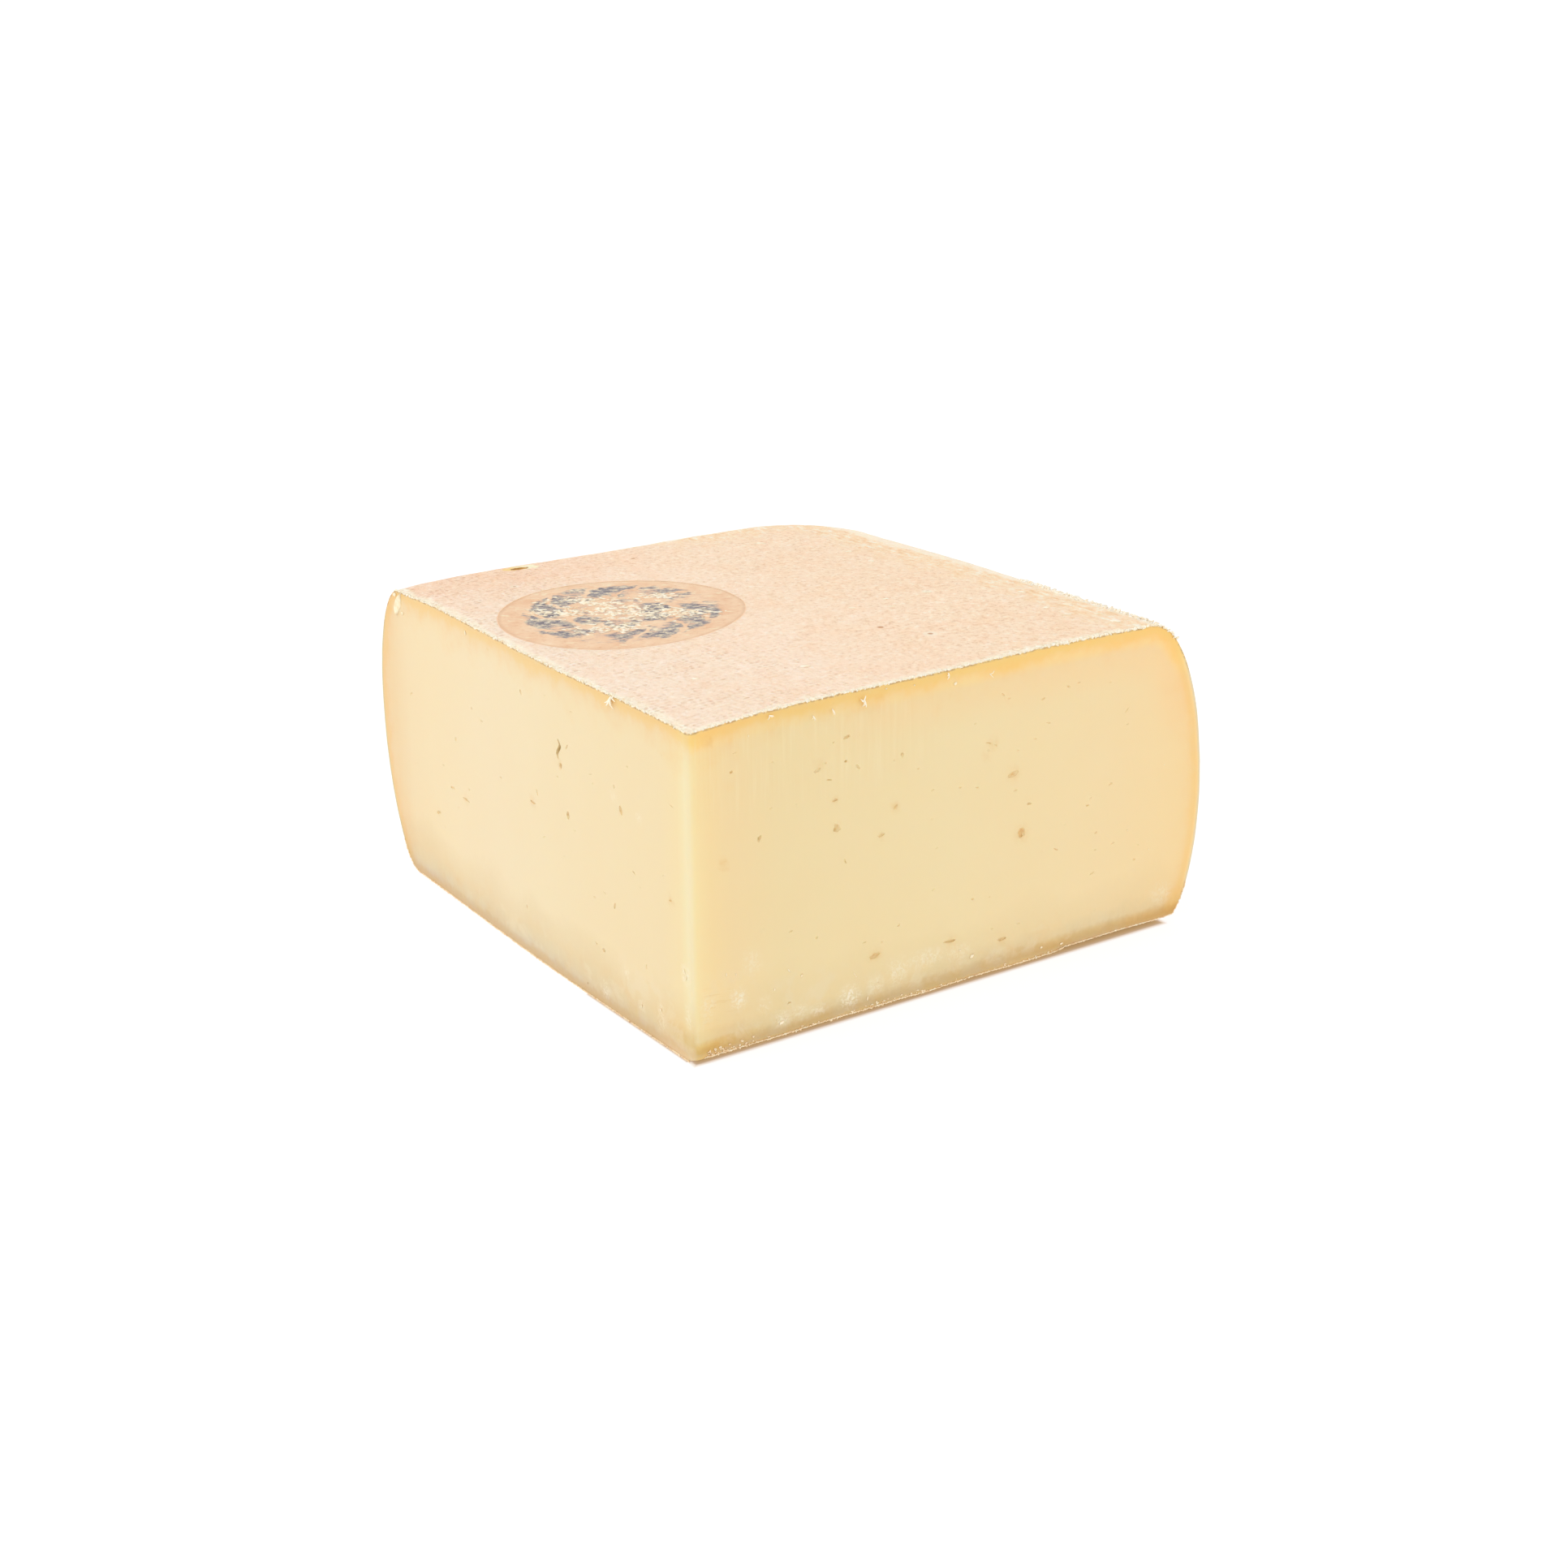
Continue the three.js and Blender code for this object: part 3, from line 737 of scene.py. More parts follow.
def label_seat():
    x, y = label_outline(SEAT_GAP)
    count = len(x)
    low = np.column_stack((x, y, rind_level(x, y) - SEAT_DEPTH))
    high = low + (0, 0, 8)
    wall = [(i, (i + 1) % count, count + (i + 1) % count, count + i) for i in range(count)]
    rings = [np.column_stack(label_outline(SEAT_GAP, share)) for share in (0.75, 0.5, 0.25)]
    points, faces = [*low, *high], [*wall, tuple(range(count, 2 * count))]
    start = 0
    for ring in rings:
        next_start = len(points)
        points += [(px, py, pz - SEAT_DEPTH) for (px, py), pz in zip(ring, rind_level(*ring.T))]
        for i in range(count):
            j = (i + 1) % count
            faces.append((start + j, start + i, next_start + i, next_start + j))
        start = next_start
    faces.append(tuple(range(start, start + count))[::-1])
    return joined_mesh("seat", [(np.array(points), faces)])


def nick_tool():
    shape = bmesh.new()
    bmesh.ops.create_icosphere(shape, subdivisions=3, radius=1)
    base = Vector((*NICK_CENTRE, float(rind_level(*NICK_CENTRE)[0])))
    for corner in shape.verts:
        p = corner.co * (1 + NICK_LUMPS * noise.noise(corner.co * 2.1))
        corner.co = base + Vector((p.x * NICK_SIZE[0], p.y * NICK_SIZE[1], p.z * NICK_SIZE[2]))
    mesh = bpy.data.meshes.new("nick")
    shape.to_mesh(mesh)
    shape.free()
    return mesh


skin = cheese_skin()
rind_faces = [tuple(face.vertices) for face in skin.polygons if len(face.vertices) == 4]
skin_tree = BVHTree.FromPolygons([v.co for v in skin.vertices], rind_faces)
cheese_mesh = carve(skin, quarter_block(), "INTERSECT")
cheese_mesh = carve(cheese_mesh, foot_wedge(), "DIFFERENCE")
cheese_mesh = carve(cheese_mesh, joined_mesh("eyes", eye_blocks), "DIFFERENCE")
cheese_mesh = carve(cheese_mesh, label_seat(), "DIFFERENCE")
cheese_mesh = carve(cheese_mesh, nick_tool(), "DIFFERENCE")

# Painted on the points: how deep under the rind, how far inside an eye, how much painted shade and how
# orange that eye is, how stained and how crushed. Painted on the faces: whether the wire made them.
EYE_STAINS = (
    # distance from the front edge, height, reach of the tan halo, strength, on the left face
    (86.3, 48.5, 2.7, 0.7, False),
    (89.2, 33.6, 3.2, 0.8, False),
    (47.6, 13.8, 2.6, 0.8, False),
    (69.2, 11.9, 2.4, 0.5, False),
    (84.1, 8.5, 2.0, 0.6, False),
    (8.1, 44.1, 1.9, 1.0, False),
    (80.2, 57.0, 2.2, 0.7, False),
    (78.2, 54.6, 2.0, 0.5, False),
    (32.5, 61.2, 2.0, 0.45, False),
    (52.9, 47.6, 1.7, 0.9, False),
    (49.0, 41.7, 1.6, 0.5, False),
    (36.7, 52.2, 1.4, 0.7, False),
    (37.0, 46.0, 1.5, 0.5, False),
    (48.4, 73.3, 1.1, 0.9, False),
    (5.0, 71.5, 1.6, 1.0, False),
    (54.8, 53.0, 1.7, 0.9, True),
    (56.0, 56.2, 1.6, 0.5, True),
    (68.9, 40.2, 2.0, 0.7, True),
    (104.2, 30.7, 2.0, 0.5, True),
    (120.5, 22.7, 1.6, 0.6, True),
    (8.5, 35.2, 1.7, 1.0, True),
    (28.2, 49.6, 1.7, 0.5, True),
)
SMEARS = (
    # dry, crushed paste: distance from the front edge, height, half width, half height,
    # strength, on the left face
    (11.3, 12.8, 2.2, 2.8, 0.8, False),
    (17.8, 9.9, 1.8, 2.4, 0.5, False),
    (14.8, 20.4, 2.6, 3.4, 0.35, False),
    (40.5, 5.8, 3.0, 2.8, 1.0, False),
    (47.6, 6.6, 2.6, 2.2, 0.5, False),
    (53.8, 8.5, 3.0, 3.6, 0.6, False),
    (62.0, 9.5, 6.0, 2.2, 0.55, False),
    (71.0, 8.5, 4.5, 2.2, 0.4, False),
    (27.1, 5.7, 2.4, 1.8, 0.5, False),
    (32.0, 5.0, 2.4, 1.6, 0.5, False),
    (22.2, 5.2, 2.2, 2.0, 0.7, False),
    (134.3, 8.6, 3.5, 3.0, 0.4, False),
    (3.5, 13.0, 2.0, 3.0, 0.5, False),
    (3.2, 20.1, 1.8, 2.4, 0.9, True),
    (27.9, 11.6, 1.2, 1.6, 0.6, True),
    (38.0, 4.0, 2.2, 2.4, 0.5, True),
    (21.9, 6.0, 1.3, 1.5, 0.8, True),
    (13.6, 8.2, 1.2, 1.4, 0.8, True),
    (13.7, 5.1, 2.0, 3.0, 0.4, True),
    (31.4, 52.1, 1.5, 1.2, 0.4, True),
    (20.7, 50.1, 1.5, 1.2, 0.4, True),
    (2.6, 10.5, 1.4, 3.0, 0.5, True),
    (136.4, 73.0, 1.5, 1.8, 0.6, True),
)
FACE_DEPTH = 3.0  # how far in a point still counts as on a cut face
EYE_UNDER, EYE_EDGE = 0.3, 0.25  # eyes start this deep under the rind, their colour over this depth
SMEAR_EDGE = 1.3  # share of its reach where a smear has faded out
CUT_DEEP, CUT_FACING = 0.05, 0.7  # what the wire made lies this deep or faces this much forwards
spots = np.array([v.co for v in cheese_mesh.vertices])
deep = np.array([skin_tree.find_nearest(v.co)[3] for v in cheese_mesh.vertices])
beyond_wire = np.minimum(spots[:, 0], spots[:, 1])
corner_cut = np.hypot(*np.minimum(spots[:, :2] - CUT_EDGE_RADIUS, 0).T)
beyond_wire = np.where(corner_cut > 0, CUT_EDGE_RADIUS - corner_cut, beyond_wire)
in_eye = np.clip((beyond_wire - 2 * WIRE_DRIFT) / EYE_EDGE, 0, 1)
in_eye = np.where(deep > EYE_UNDER, in_eye, 0)


def off_spot(out, height, wide, tall, left_side):
    """Distance on a cut face from a place, as a share of its reach, endless off that face."""
    along, inward = (spots[:, 1], spots[:, 0]) if left_side else (spots[:, 0], spots[:, 1])
    away = np.hypot((along - out) / wide, (spots[:, 2] - height) / tall)
    return np.where(inward < FACE_DEPTH, away, np.inf)


stained = np.zeros(len(spots))
for out, height, reach, strength, left_side in EYE_STAINS:
    share = ease(1 - off_spot(out, height, reach, reach, left_side))
    stained = np.maximum(stained, strength * share)
smeared = np.zeros(len(spots))
for out, height, wide, tall, strength, left_side in SMEARS:
    share = ease(SMEAR_EDGE - off_spot(out, height, wide, tall, left_side))
    smeared = np.maximum(smeared, strength * share)
eye_shade, orangeness = np.zeros(len(spots)), np.zeros(len(spots))
for inside_eye in np.flatnonzero(in_eye):
    x, y, z = spots[inside_eye]
    eyes, out = (left_eyes, y) if x < y else (right_eyes, x)
    nearest = min(eyes, key=lambda eye: math.dist(eye[:2], (out, z)))
    eye_shade[inside_eye], orangeness[inside_eye] = nearest[-2:]
painted = {
    "rind_depth": deep,
    "eye": in_eye,
    "stain": stained,
    "dark": eye_shade,
    "orange": orangeness,
    "smear": smeared,
}
for name, values in painted.items():
    cheese_mesh.attributes.new(name, "FLOAT", "POINT").data.foreach_set("value", values)
wire_made = []
for face in cheese_mesh.polygons:
    forwards = math.hypot(min(face.normal.x, 0), min(face.normal.y, 0))
    deepest = max(deep[i] for i in face.vertices)
    wire_made.append(float(deepest > CUT_DEEP or forwards > CUT_FACING))
cheese_mesh.attributes.new("cut", "FLOAT", "FACE").data.foreach_set("value", wire_made)
cheese_mesh.shade_smooth()
cheese_mesh.set_sharp_from_angle(angle=math.radians(38))


class Paint(Finish):
    """A finish with ways to layer colours and noise."""

    def noise(self, size, detail=2.0, rough=0.5, place=None, bend=0.0):
        """Cloudy 0 to 1 noise; size is the width of a cloud in millimetres."""
        inputs = {
            "Vector": self.place if place is None else place,
            "Scale": 1 / size,
            "Detail": detail,
            "Roughness": rough,
            "Distortion": bend,
        }
        return self.node("ShaderNodeTexNoise", inputs).outputs["Fac"]

    def stretch(self, turn, scale):
        """The place turned about the vertical, then scaled: streaks run where the scale is small."""
        turned = self.node(
            "ShaderNodeVectorRotate",
            {"Vector": self.place, "Angle": math.radians(turn)},
            rotation_type="Z_AXIS",
        )
        return self.node(
            "ShaderNodeVectorMath", {0: turned.outputs[0], 1: scale}, operation="MULTIPLY"
        ).outputs[0]

    def nudged(self, size, reach):
        """The place pushed about by noise, as separate x, y and z."""
        push = self.node("ShaderNodeTexNoise", {"Vector": self.place, "Scale": 1 / size, "Detail": 2.0})
        moved = self.node(
            "ShaderNodeVectorMath",
            {0: push.outputs["Color"], 1: (reach,) * 3, 2: self.place},
            operation="MULTIPLY_ADD",
        )
        return self.node("ShaderNodeSeparateXYZ", {0: moved.outputs[0]}).outputs

    def away_from(self, x, y, reach_x, reach_y):
        """Distance in plan from a point, as a share of a reach each way."""
        across = self.maths("DIVIDE", self.maths("SUBTRACT", self.x, x), reach_x)
        up = self.maths("DIVIDE", self.maths("SUBTRACT", self.y, y), reach_y)
        squares = [self.times(value, value) for value in (across, up)]
        return self.maths("SQRT", self.maths("ADD", *squares))

    def attribute(self, name):
        return self.node("ShaderNodeAttribute", {}, attribute_name=name).outputs["Fac"]


def tint(red, green, blue):
    return (red, green, blue, 1)


paste = Paint("paste_and_rind")

# The paste by face: a little deeper in colour towards the outer rind.
on_left = paste.spread(paste.maths("SUBTRACT", paste.y, paste.x), -0.8, 0.8)
across = paste.maths("MAXIMUM", paste.x, paste.y)
right_paste = paste.blend(
    across,
    [
        (10, srgb(236, 213, 164)),
        (70, srgb(238, 216, 169)),
        (115, srgb(241, 215, 167)),
        (130, srgb(243, 214, 163)),
        (142, srgb(244, 212, 157)),
    ],
)
left_paste = paste.blend(
    across,
    [
        (10, srgb(233, 213, 170)),
        (60, srgb(234, 216, 177)),
        (90, srgb(235, 217, 180)),
        (122, srgb(236, 216, 175)),
        (134, srgb(235, 213, 171)),
        (142, srgb(233, 206, 160)),
    ],
)
paste_colour = paste.layer(on_left, right_paste, left_paste)
cloudy = paste.noise(26, 3)
paste_colour = paste.layer(
    paste.spread(cloudy, 0.35, 0.65, 0, 0.35), paste_colour, tint(1.0, 0.975, 0.94), "MULTIPLY"
)

# The amber zone under the rind, uneven in depth, with a painted shadow line right under the rim, where the
# lip of crumbs hangs over the cut.
depth = paste.attribute("rind_depth")
uneven = paste.times(
    paste.spread(paste.noise(13, 3), 0.3, 0.7, 0.62, 1.45, soft=False),
    paste.spread(paste.noise(4.5, 3), 0.3, 0.7, 0.72, 1.32, soft=False),
)
ripple = paste.spread(paste.noise(1.6, 2), 0.3, 0.7, -0.35, 0.35, soft=False)
band = paste.maths("ADD", paste.times(depth, uneven), ripple)
amber = paste.blend(
    band,
    [
        (0.0, tint(0.98, 0.86, 0.66)),
        (0.9, tint(1.0, 0.84, 0.555)),
        (2.0, tint(1.0, 0.866, 0.63)),
        (3.0, tint(1.0, 0.902, 0.77)),
        (4.2, tint(1.0, 0.945, 0.89)),
        (6.0, tint(1.0, 0.98, 0.95)),
        (9.0, tint(1.0, 1.0, 1.0)),
    ],
)
at_side = paste.times(
    paste.spread(across, 120, 133), paste.spread(paste.z, 73, 64), paste.spread(paste.z, 5, 12)
)
weaker = paste.times(at_side, paste.spread(on_left, 0, 1, 0.6, 0.3, soft=False))
paste_colour = paste.layer(paste.maths("SUBTRACT", 1.0, weaker), paste_colour, amber, "MULTIPLY")
right_outline = paste.blend(
    depth,
    [
        (0.3, tint(0.87, 1.0, 1.38)),
        (0.8, tint(1.02, 1.04, 1.06)),
        (1.5, tint(1.0, 0.975, 0.87)),
        (2.6, tint(1.0, 0.975, 0.88)),
        (3.4, tint(1.0, 0.99, 0.96)),
        (4.5, tint(1.0, 1.0, 1.0)),
    ],
)
left_outline = paste.blend(depth, [(0.35, tint(0.78, 0.93, 1.05)), (0.9, tint(1.0, 1.0, 1.0))])
side_outline = paste.layer(on_left, right_outline, left_outline)
paste_colour = paste.layer(at_side, paste_colour, side_outline, "MULTIPLY")
top_amber = paste.times(
    paste.spread(depth, 5.5, 3.0), paste.spread(paste.z, 62, 68), paste.spread(on_left, 0, 1, 1, 0)
)
paste_colour = paste.layer(
    paste.times(top_amber, paste.spread(paste.x, 30, 95, 0.5, 1.0)),
    paste_colour,
    tint(1.05, 1.035, 0.86),
    "MULTIPLY",
)
# Painted shadow: a thin dark line right under the rim, as if cast by the overhanging lip.
rim_shadow_paint = paste.times(
    paste.spread(depth, 0.15, 0.55, 1, 0),
    paste.spread(paste.z, 60, 70),
    paste.spread(paste.noise(1.3, 3, 0.6), 0.40, 0.58, 0.1, 1.0),
)
paste_colour = paste.layer(rim_shadow_paint, paste_colour, srgb(194, 156, 108))

# The damp brown zone over the foot, darker low down partly as painted shade where the foot meets the floor.
foot_edge = paste.spread(paste.y, FOOT_RISE_START, HALF_Y, 0, FOOT_RISE)
left_height = paste.maths("SUBTRACT", paste.z, paste.times(foot_edge, on_left))
foot_uneven = paste.spread(paste.noise(17, 3), 0.3, 0.7, 0.8, 1.2, soft=False)
above_foot = paste.maths("ADD", paste.times(left_height, foot_uneven), ripple)
foot_right = paste.blend(
    above_foot,
    [
        (1.4, tint(0.80, 0.80, 0.86)),
        (2.2, tint(0.72, 0.715, 0.78)),
        (3.0, tint(0.72, 0.69, 0.67)),
        (4.0, tint(0.785, 0.76, 0.74)),
        (5.2, tint(0.87, 0.88, 0.89)),
        (8.0, tint(0.95, 0.94, 0.92)),
        (17.0, tint(1.0, 1.0, 1.0)),
    ],
)
foot_left = paste.blend(
    above_foot,
    [
        (0.0, tint(0.78, 0.78, 0.88)),
        (0.9, tint(0.74, 0.735, 0.89)),
        (2.0, tint(0.76, 0.775, 0.92)),
        (3.2, tint(0.82, 0.86, 0.945)),
        (4.6, tint(0.86, 0.875, 0.88)),
        (7.5, tint(0.92, 0.89, 0.84)),
        (16.0, tint(1.0, 1.0, 1.0)),
    ],
)
low_down = paste.times(paste.spread(paste.z, 1.9, 2.8), paste.spread(paste.z, 5.8, 3.8))
near_end = paste.times(paste.spread(paste.x, 22, 8), low_down)
far_end = paste.times(paste.spread(paste.x, 78, 105), low_down)
foot_right = paste.layer(near_end, foot_right, tint(1.02, 0.93, 0.62), "MULTIPLY")
foot_right = paste.layer(far_end, foot_right, tint(0.98, 0.91, 0.72), "MULTIPLY")
near_left = paste.blend(
    paste.z,
    [
        (0.3, tint(1.12, 1.12, 1.28)),
        (1.0, tint(1.16, 1.20, 1.40)),
        (1.7, tint(1.10, 1.09, 1.13)),
        (2.7, tint(1.06, 1.0, 0.95)),
        (4.2, tint(0.97, 0.86, 0.64)),
        (5.5, tint(0.96, 0.85, 0.67)),
        (8.0, tint(1.01, 0.965, 0.89)),
        (13.0, tint(1.0, 1.0, 1.0)),
    ],
)
foot_left = paste.layer(paste.spread(paste.y, 20, 8), foot_left, near_left, "MULTIPLY")
# The foot's own damp colour and painted shade together.
foot_tone_and_shade = paste.layer(on_left, foot_right, foot_left)
paste_colour = paste.layer(1.0, paste_colour, foot_tone_and_shade, "MULTIPLY")

# The front edge is painted lighter: partly a painted highlight where the rounded edge catches the light,
# partly the drier paste there; beside it on the right the paste is a little more orange.
from_edge = paste.maths("SUBTRACT", paste.x, paste.y)
painted_edge_highlight = paste.blend(
    from_edge,
    [
        (-12, tint(0.80, 0.80, 0.80)),
        (-5, tint(0.815, 0.815, 0.77)),
        (-3.2, tint(0.815, 0.85, 0.82)),
        (-1.6, tint(0.82, 0.885, 0.92)),
        (-0.2, tint(0.84, 0.90, 0.95)),
        (1.2, tint(0.86, 0.87, 0.83)),
        (2.6, tint(0.86, 0.84, 0.79)),
        (5.0, tint(0.85, 0.81, 0.76)),
        (10.0, tint(0.825, 0.795, 0.785)),
        (22.0, tint(0.80, 0.80, 0.80)),
    ],
)
paste_colour = paste.layer(1.0, paste_colour, painted_edge_highlight, "MULTIPLY")
below_amber = paste.times(
    paste.spread(depth, 1.0, 2.6),
    paste.spread(depth, 15, 7),
    paste.spread(paste.z, 44, 58),
    paste.spread(paste.x, 30, 55),
)
paste_colour = paste.layer(below_amber, paste_colour, tint(1.02, 0.967, 0.935), "MULTIPLY")
light_share = paste.layer(on_left, tint(1.251, 1.262, 1.236), tint(1.262, 1.24, 1.202))
paste_colour = paste.layer(1.0, paste_colour, light_share, "MULTIPLY")

# Eyes, painted darker inside as painted shade in their hollows, olive or orange in tone, and the tan halos
# round some of them.
broken = paste.spread(paste.noise(1.8, 3), 0.35, 0.6, 0.35, 1.0)
halo = paste.times(paste.attribute("stain"), broken)
paste_colour = paste.layer(halo, paste_colour, tint(0.93, 0.81, 0.66), "MULTIPLY")
pale_eye = paste.layer(paste.attribute("orange"), tint(0.92, 0.92, 0.76), tint(0.97, 0.88, 0.76))
# Painted shade inside the eyes, in olive and orange tones.
shaded_eye = paste.layer(paste.attribute("orange"), tint(0.50, 0.42, 0.17), tint(0.70, 0.48, 0.28))
eye_tone_and_shade = paste.layer(paste.attribute("dark"), pale_eye, shaded_eye)
paste_colour = paste.layer(paste.attribute("eye"), paste_colour, eye_tone_and_shade, "MULTIPLY")

# Drag lines of the wire under the right rim.
drag = paste.noise(1.0, 3, 0.6, place=paste.stretch(0, (1.0, 1.0, 0.045)))
high_up = paste.times(
    paste.spread(paste.z, 50, 60),
    paste.spread(paste.z, 74, 70),
    paste.maths("SUBTRACT", 1.0, on_left),
    paste.spread(paste.x, 75, 45),
)
drag_share = paste.times(paste.spread(drag, 0.50, 0.66, 0, 0.45), high_up)
paste_colour = paste.layer(drag_share, paste_colour, tint(0.99, 0.97, 0.93), "MULTIPLY")
pale_drag = paste.times(paste.spread(drag, 0.48, 0.34, 0, 0.16), high_up)
paste_colour = paste.layer(pale_drag, paste_colour, srgb(246, 229, 190))

# The wire also left short level arcs low on the front edge.
arc_bend = paste.times(paste.x, paste.x, 0.012)
arc_place = paste.node(
    "ShaderNodeCombineXYZ", {0: paste.times(paste.x, 0.09), 1: paste.maths("ADD", paste.z, arc_bend)}
).outputs[0]
arc_share = paste.times(
    paste.spread(paste.noise(1.0, 3, 0.7, place=arc_place), 0.54, 0.66, 0, 0.55),
    paste.spread(paste.x, 1.5, 3.0),
    paste.spread(paste.x, 14, 6),
    paste.spread(paste.z, 7, 9),
    paste.spread(paste.z, 19, 15),
)
paste_colour = paste.layer(arc_share, paste_colour, tint(0.93, 0.86, 0.75), "MULTIPLY")

# Dry scrapes near the foot, and paste crushed white where something rubbed it.
scrape_top = paste.spread(across, 5, 60, 24, 13)
scrape_zone = paste.times(
    paste.spread(paste.z, 1.8, 5),
    paste.spread(paste.maths("DIVIDE", paste.z, scrape_top), 1.0, 0.45),
    paste.spread(across, 125, 100),
)
dried = paste.spread(paste.noise(7.0, 5, 0.62, bend=0.5), 0.50, 0.64, 0, 0.32)
scratch = paste.spread(paste.noise(1.5, 4, 0.7, bend=1.2), 0.58, 0.70, 0, 0.6)
scratch = paste.times(scratch, paste.spread(dried, 0, 0.4, 0.25, 1.0))
scrape_share = paste.times(paste.maths("MAXIMUM", dried, scratch), scrape_zone)
paste_colour = paste.layer(scrape_share, paste_colour, srgb(234, 218, 184))
crushed = paste.spread(paste.noise(0.9, 4, 0.7, bend=0.8), 0.45, 0.60, 0.12, 0.95)
crushed = paste.times(crushed, paste.attribute("smear"))
paste_colour = paste.layer(crushed, paste_colour, srgb(245, 234, 208))

# The rind: peach, browner away from the cuts, with pinker clouds.
rind_colour = paste.blend(
    paste.x,
    [
        (3, srgb(252, 228, 204)),
        (22, srgb(252, 227, 202)),
        (45, srgb(254, 227, 201)),
        (80, srgb(253, 224, 194)),
        (120, srgb(254, 225, 194)),
    ],
)
clouds = paste.spread(paste.noise(31, 3), 0.35, 0.65, 0, 0.8)
rind_colour = paste.layer(clouds, rind_colour, tint(0.995, 0.975, 0.95), "MULTIPLY")
blush = paste.spread(paste.noise(8, 3, 0.6), 0.42, 0.7, 0, 0.9)
rind_colour = paste.layer(blush, rind_colour, tint(1.0, 0.955, 0.92), "MULTIPLY")
far_left = paste.times(paste.spread(paste.y, 96, 134), paste.spread(paste.x, 85, 30))
rind_colour = paste.layer(far_left, rind_colour, tint(0.985, 0.90, 0.845), "MULTIPLY")

# Along the cuts the rind is dried to a cream rim, as wide as the wire bruised it.
bruised = paste.spread(paste.noise(8, 3), 0.3, 0.7, 1.5, 4.2, soft=False)
bruised = paste.maths("ADD", bruised, paste.times(ripple, 1.6))
from_cut = paste.maths("DIVIDE", paste.maths("MINIMUM", paste.x, paste.y), bruised)
rind_colour = paste.layer(paste.spread(from_cut, 0.35, 1.2, 0.85, 0), rind_colour, srgb(255, 242, 217))

# The print of the pressing cloth: rows of small dents between raised threads, plain along the
# left cut and worn away towards the far sides.
COLUMN_PITCH, ROW_PITCH = 1.65, 1.6
ROW_SLANT = 0.095  # rise of a row over one column, of a whole row
cloth_x, cloth_y, _ = paste.nudged(6.0, 4.2)
columns = paste.maths("DIVIDE", cloth_x, COLUMN_PITCH)
slid = paste.times(columns, ROW_SLANT)
rows = paste.maths("SUBTRACT", paste.maths("DIVIDE", cloth_y, ROW_PITCH), slid)
waves = [paste.maths("COSINE", paste.times(value, 2 * math.pi)) for value in (columns, rows)]
weave = paste.times(paste.maths("ADD", *waves), 0.5)
mesh_hole = paste.node(
    "ShaderNodeCombineXYZ", {0: paste.maths("ROUND", columns), 1: paste.maths("ROUND", rows)}
).outputs[0]
each_dent = paste.node("ShaderNodeTexWhiteNoise", {"Vector": mesh_hole}).outputs["Value"]
printed = paste.times(
    paste.spread(paste.noise(9, 4, 0.6), 0.34, 0.60, 0.15, 1.0),
    paste.spread(paste.x, 22, 78, 1.0, 0.12),
    paste.spread(paste.z, 71, 74),
)
dent = paste.times(
    paste.spread(weave, 0.1, 0.85), paste.spread(each_dent, 0.1, 1, 0.05, 1.0), printed
)
thread = paste.times(paste.spread(weave, -0.1, -0.8), printed)
grain = paste.noise(0.9, 4, 0.62)
flaky = paste.noise(1.5, 4, 0.62, bend=0.4)
rough = paste.maths("MAXIMUM", paste.spread(paste.x, 45, 90, 0.62, 1.0), paste.spread(paste.y, 100, 118))
flaky_low = paste.times(paste.spread(flaky, 0.47, 0.31), rough)
flaky_high = paste.times(paste.spread(flaky, 0.52, 0.66), rough)
grain_low = paste.times(paste.spread(grain, 0.47, 0.31), rough)
grain_high = paste.times(paste.spread(grain, 0.53, 0.68), rough)
rind_colour = paste.layer(flaky_low, rind_colour, tint(0.89, 0.80, 0.71), "MULTIPLY")
rind_colour = paste.layer(flaky_high, rind_colour, tint(1.04, 1.12, 1.22), "MULTIPLY")
rind_colour = paste.layer(grain_low, rind_colour, tint(0.86, 0.80, 0.74), "MULTIPLY")
rind_colour = paste.layer(grain_high, rind_colour, tint(1.03, 1.08, 1.13), "MULTIPLY")
# The threads are painted lighter and the dents darker: the cloth print's own colour, and partly painted
# highlight and shade of its relief.
rind_colour = paste.layer(paste.times(thread, 0.5), rind_colour, tint(1.03, 1.07, 1.12), "MULTIPLY")
rind_colour = paste.layer(dent, rind_colour, tint(0.89, 0.81, 0.745), "MULTIPLY")

# Round the far shoulders the rind is tan and streaked, with a cream band along the crest, partly dry fuzz
# and partly a painted highlight.
ragged = paste.times(paste.maths("SUBTRACT", paste.noise(4.5, 4, 0.6), 0.5), 26)
far_y = paste.maths("ADD", paste.maths("SUBTRACT", paste.y, 14), paste.spread(paste.x, 55, 92, -22, 0))
outward = paste.maths("ADD", paste.maths("MAXIMUM", paste.x, far_y), ragged)
shoulder = paste.spread(outward, 114, 125, 0, 1)
streaky = paste.noise(1.6, 4, 0.6, place=paste.stretch(0, (1.0, 0.35, 0.8)))
tan_streaks = paste.blend(
    streaky,
    [
        (0.3, srgb(240, 196, 144)),
        (0.44, srgb(252, 217, 174)),
        (0.56, srgb(255, 228, 193)),
        (0.66, srgb(255, 248, 230)),
    ],
)
rind_colour = paste.layer(paste.times(shoulder, 0.85), rind_colour, tan_streaks)
speckle = paste.noise(1.0, 4, 0.66)
speckled = paste.times(shoulder, paste.spread(speckle, 0.47, 0.34))
rind_colour = paste.layer(speckled, rind_colour, tint(0.97, 0.87, 0.74), "MULTIPLY")
speckled = paste.times(shoulder, paste.spread(speckle, 0.54, 0.68, 0, 0.8))
rind_colour = paste.layer(speckled, rind_colour, srgb(255, 245, 226))
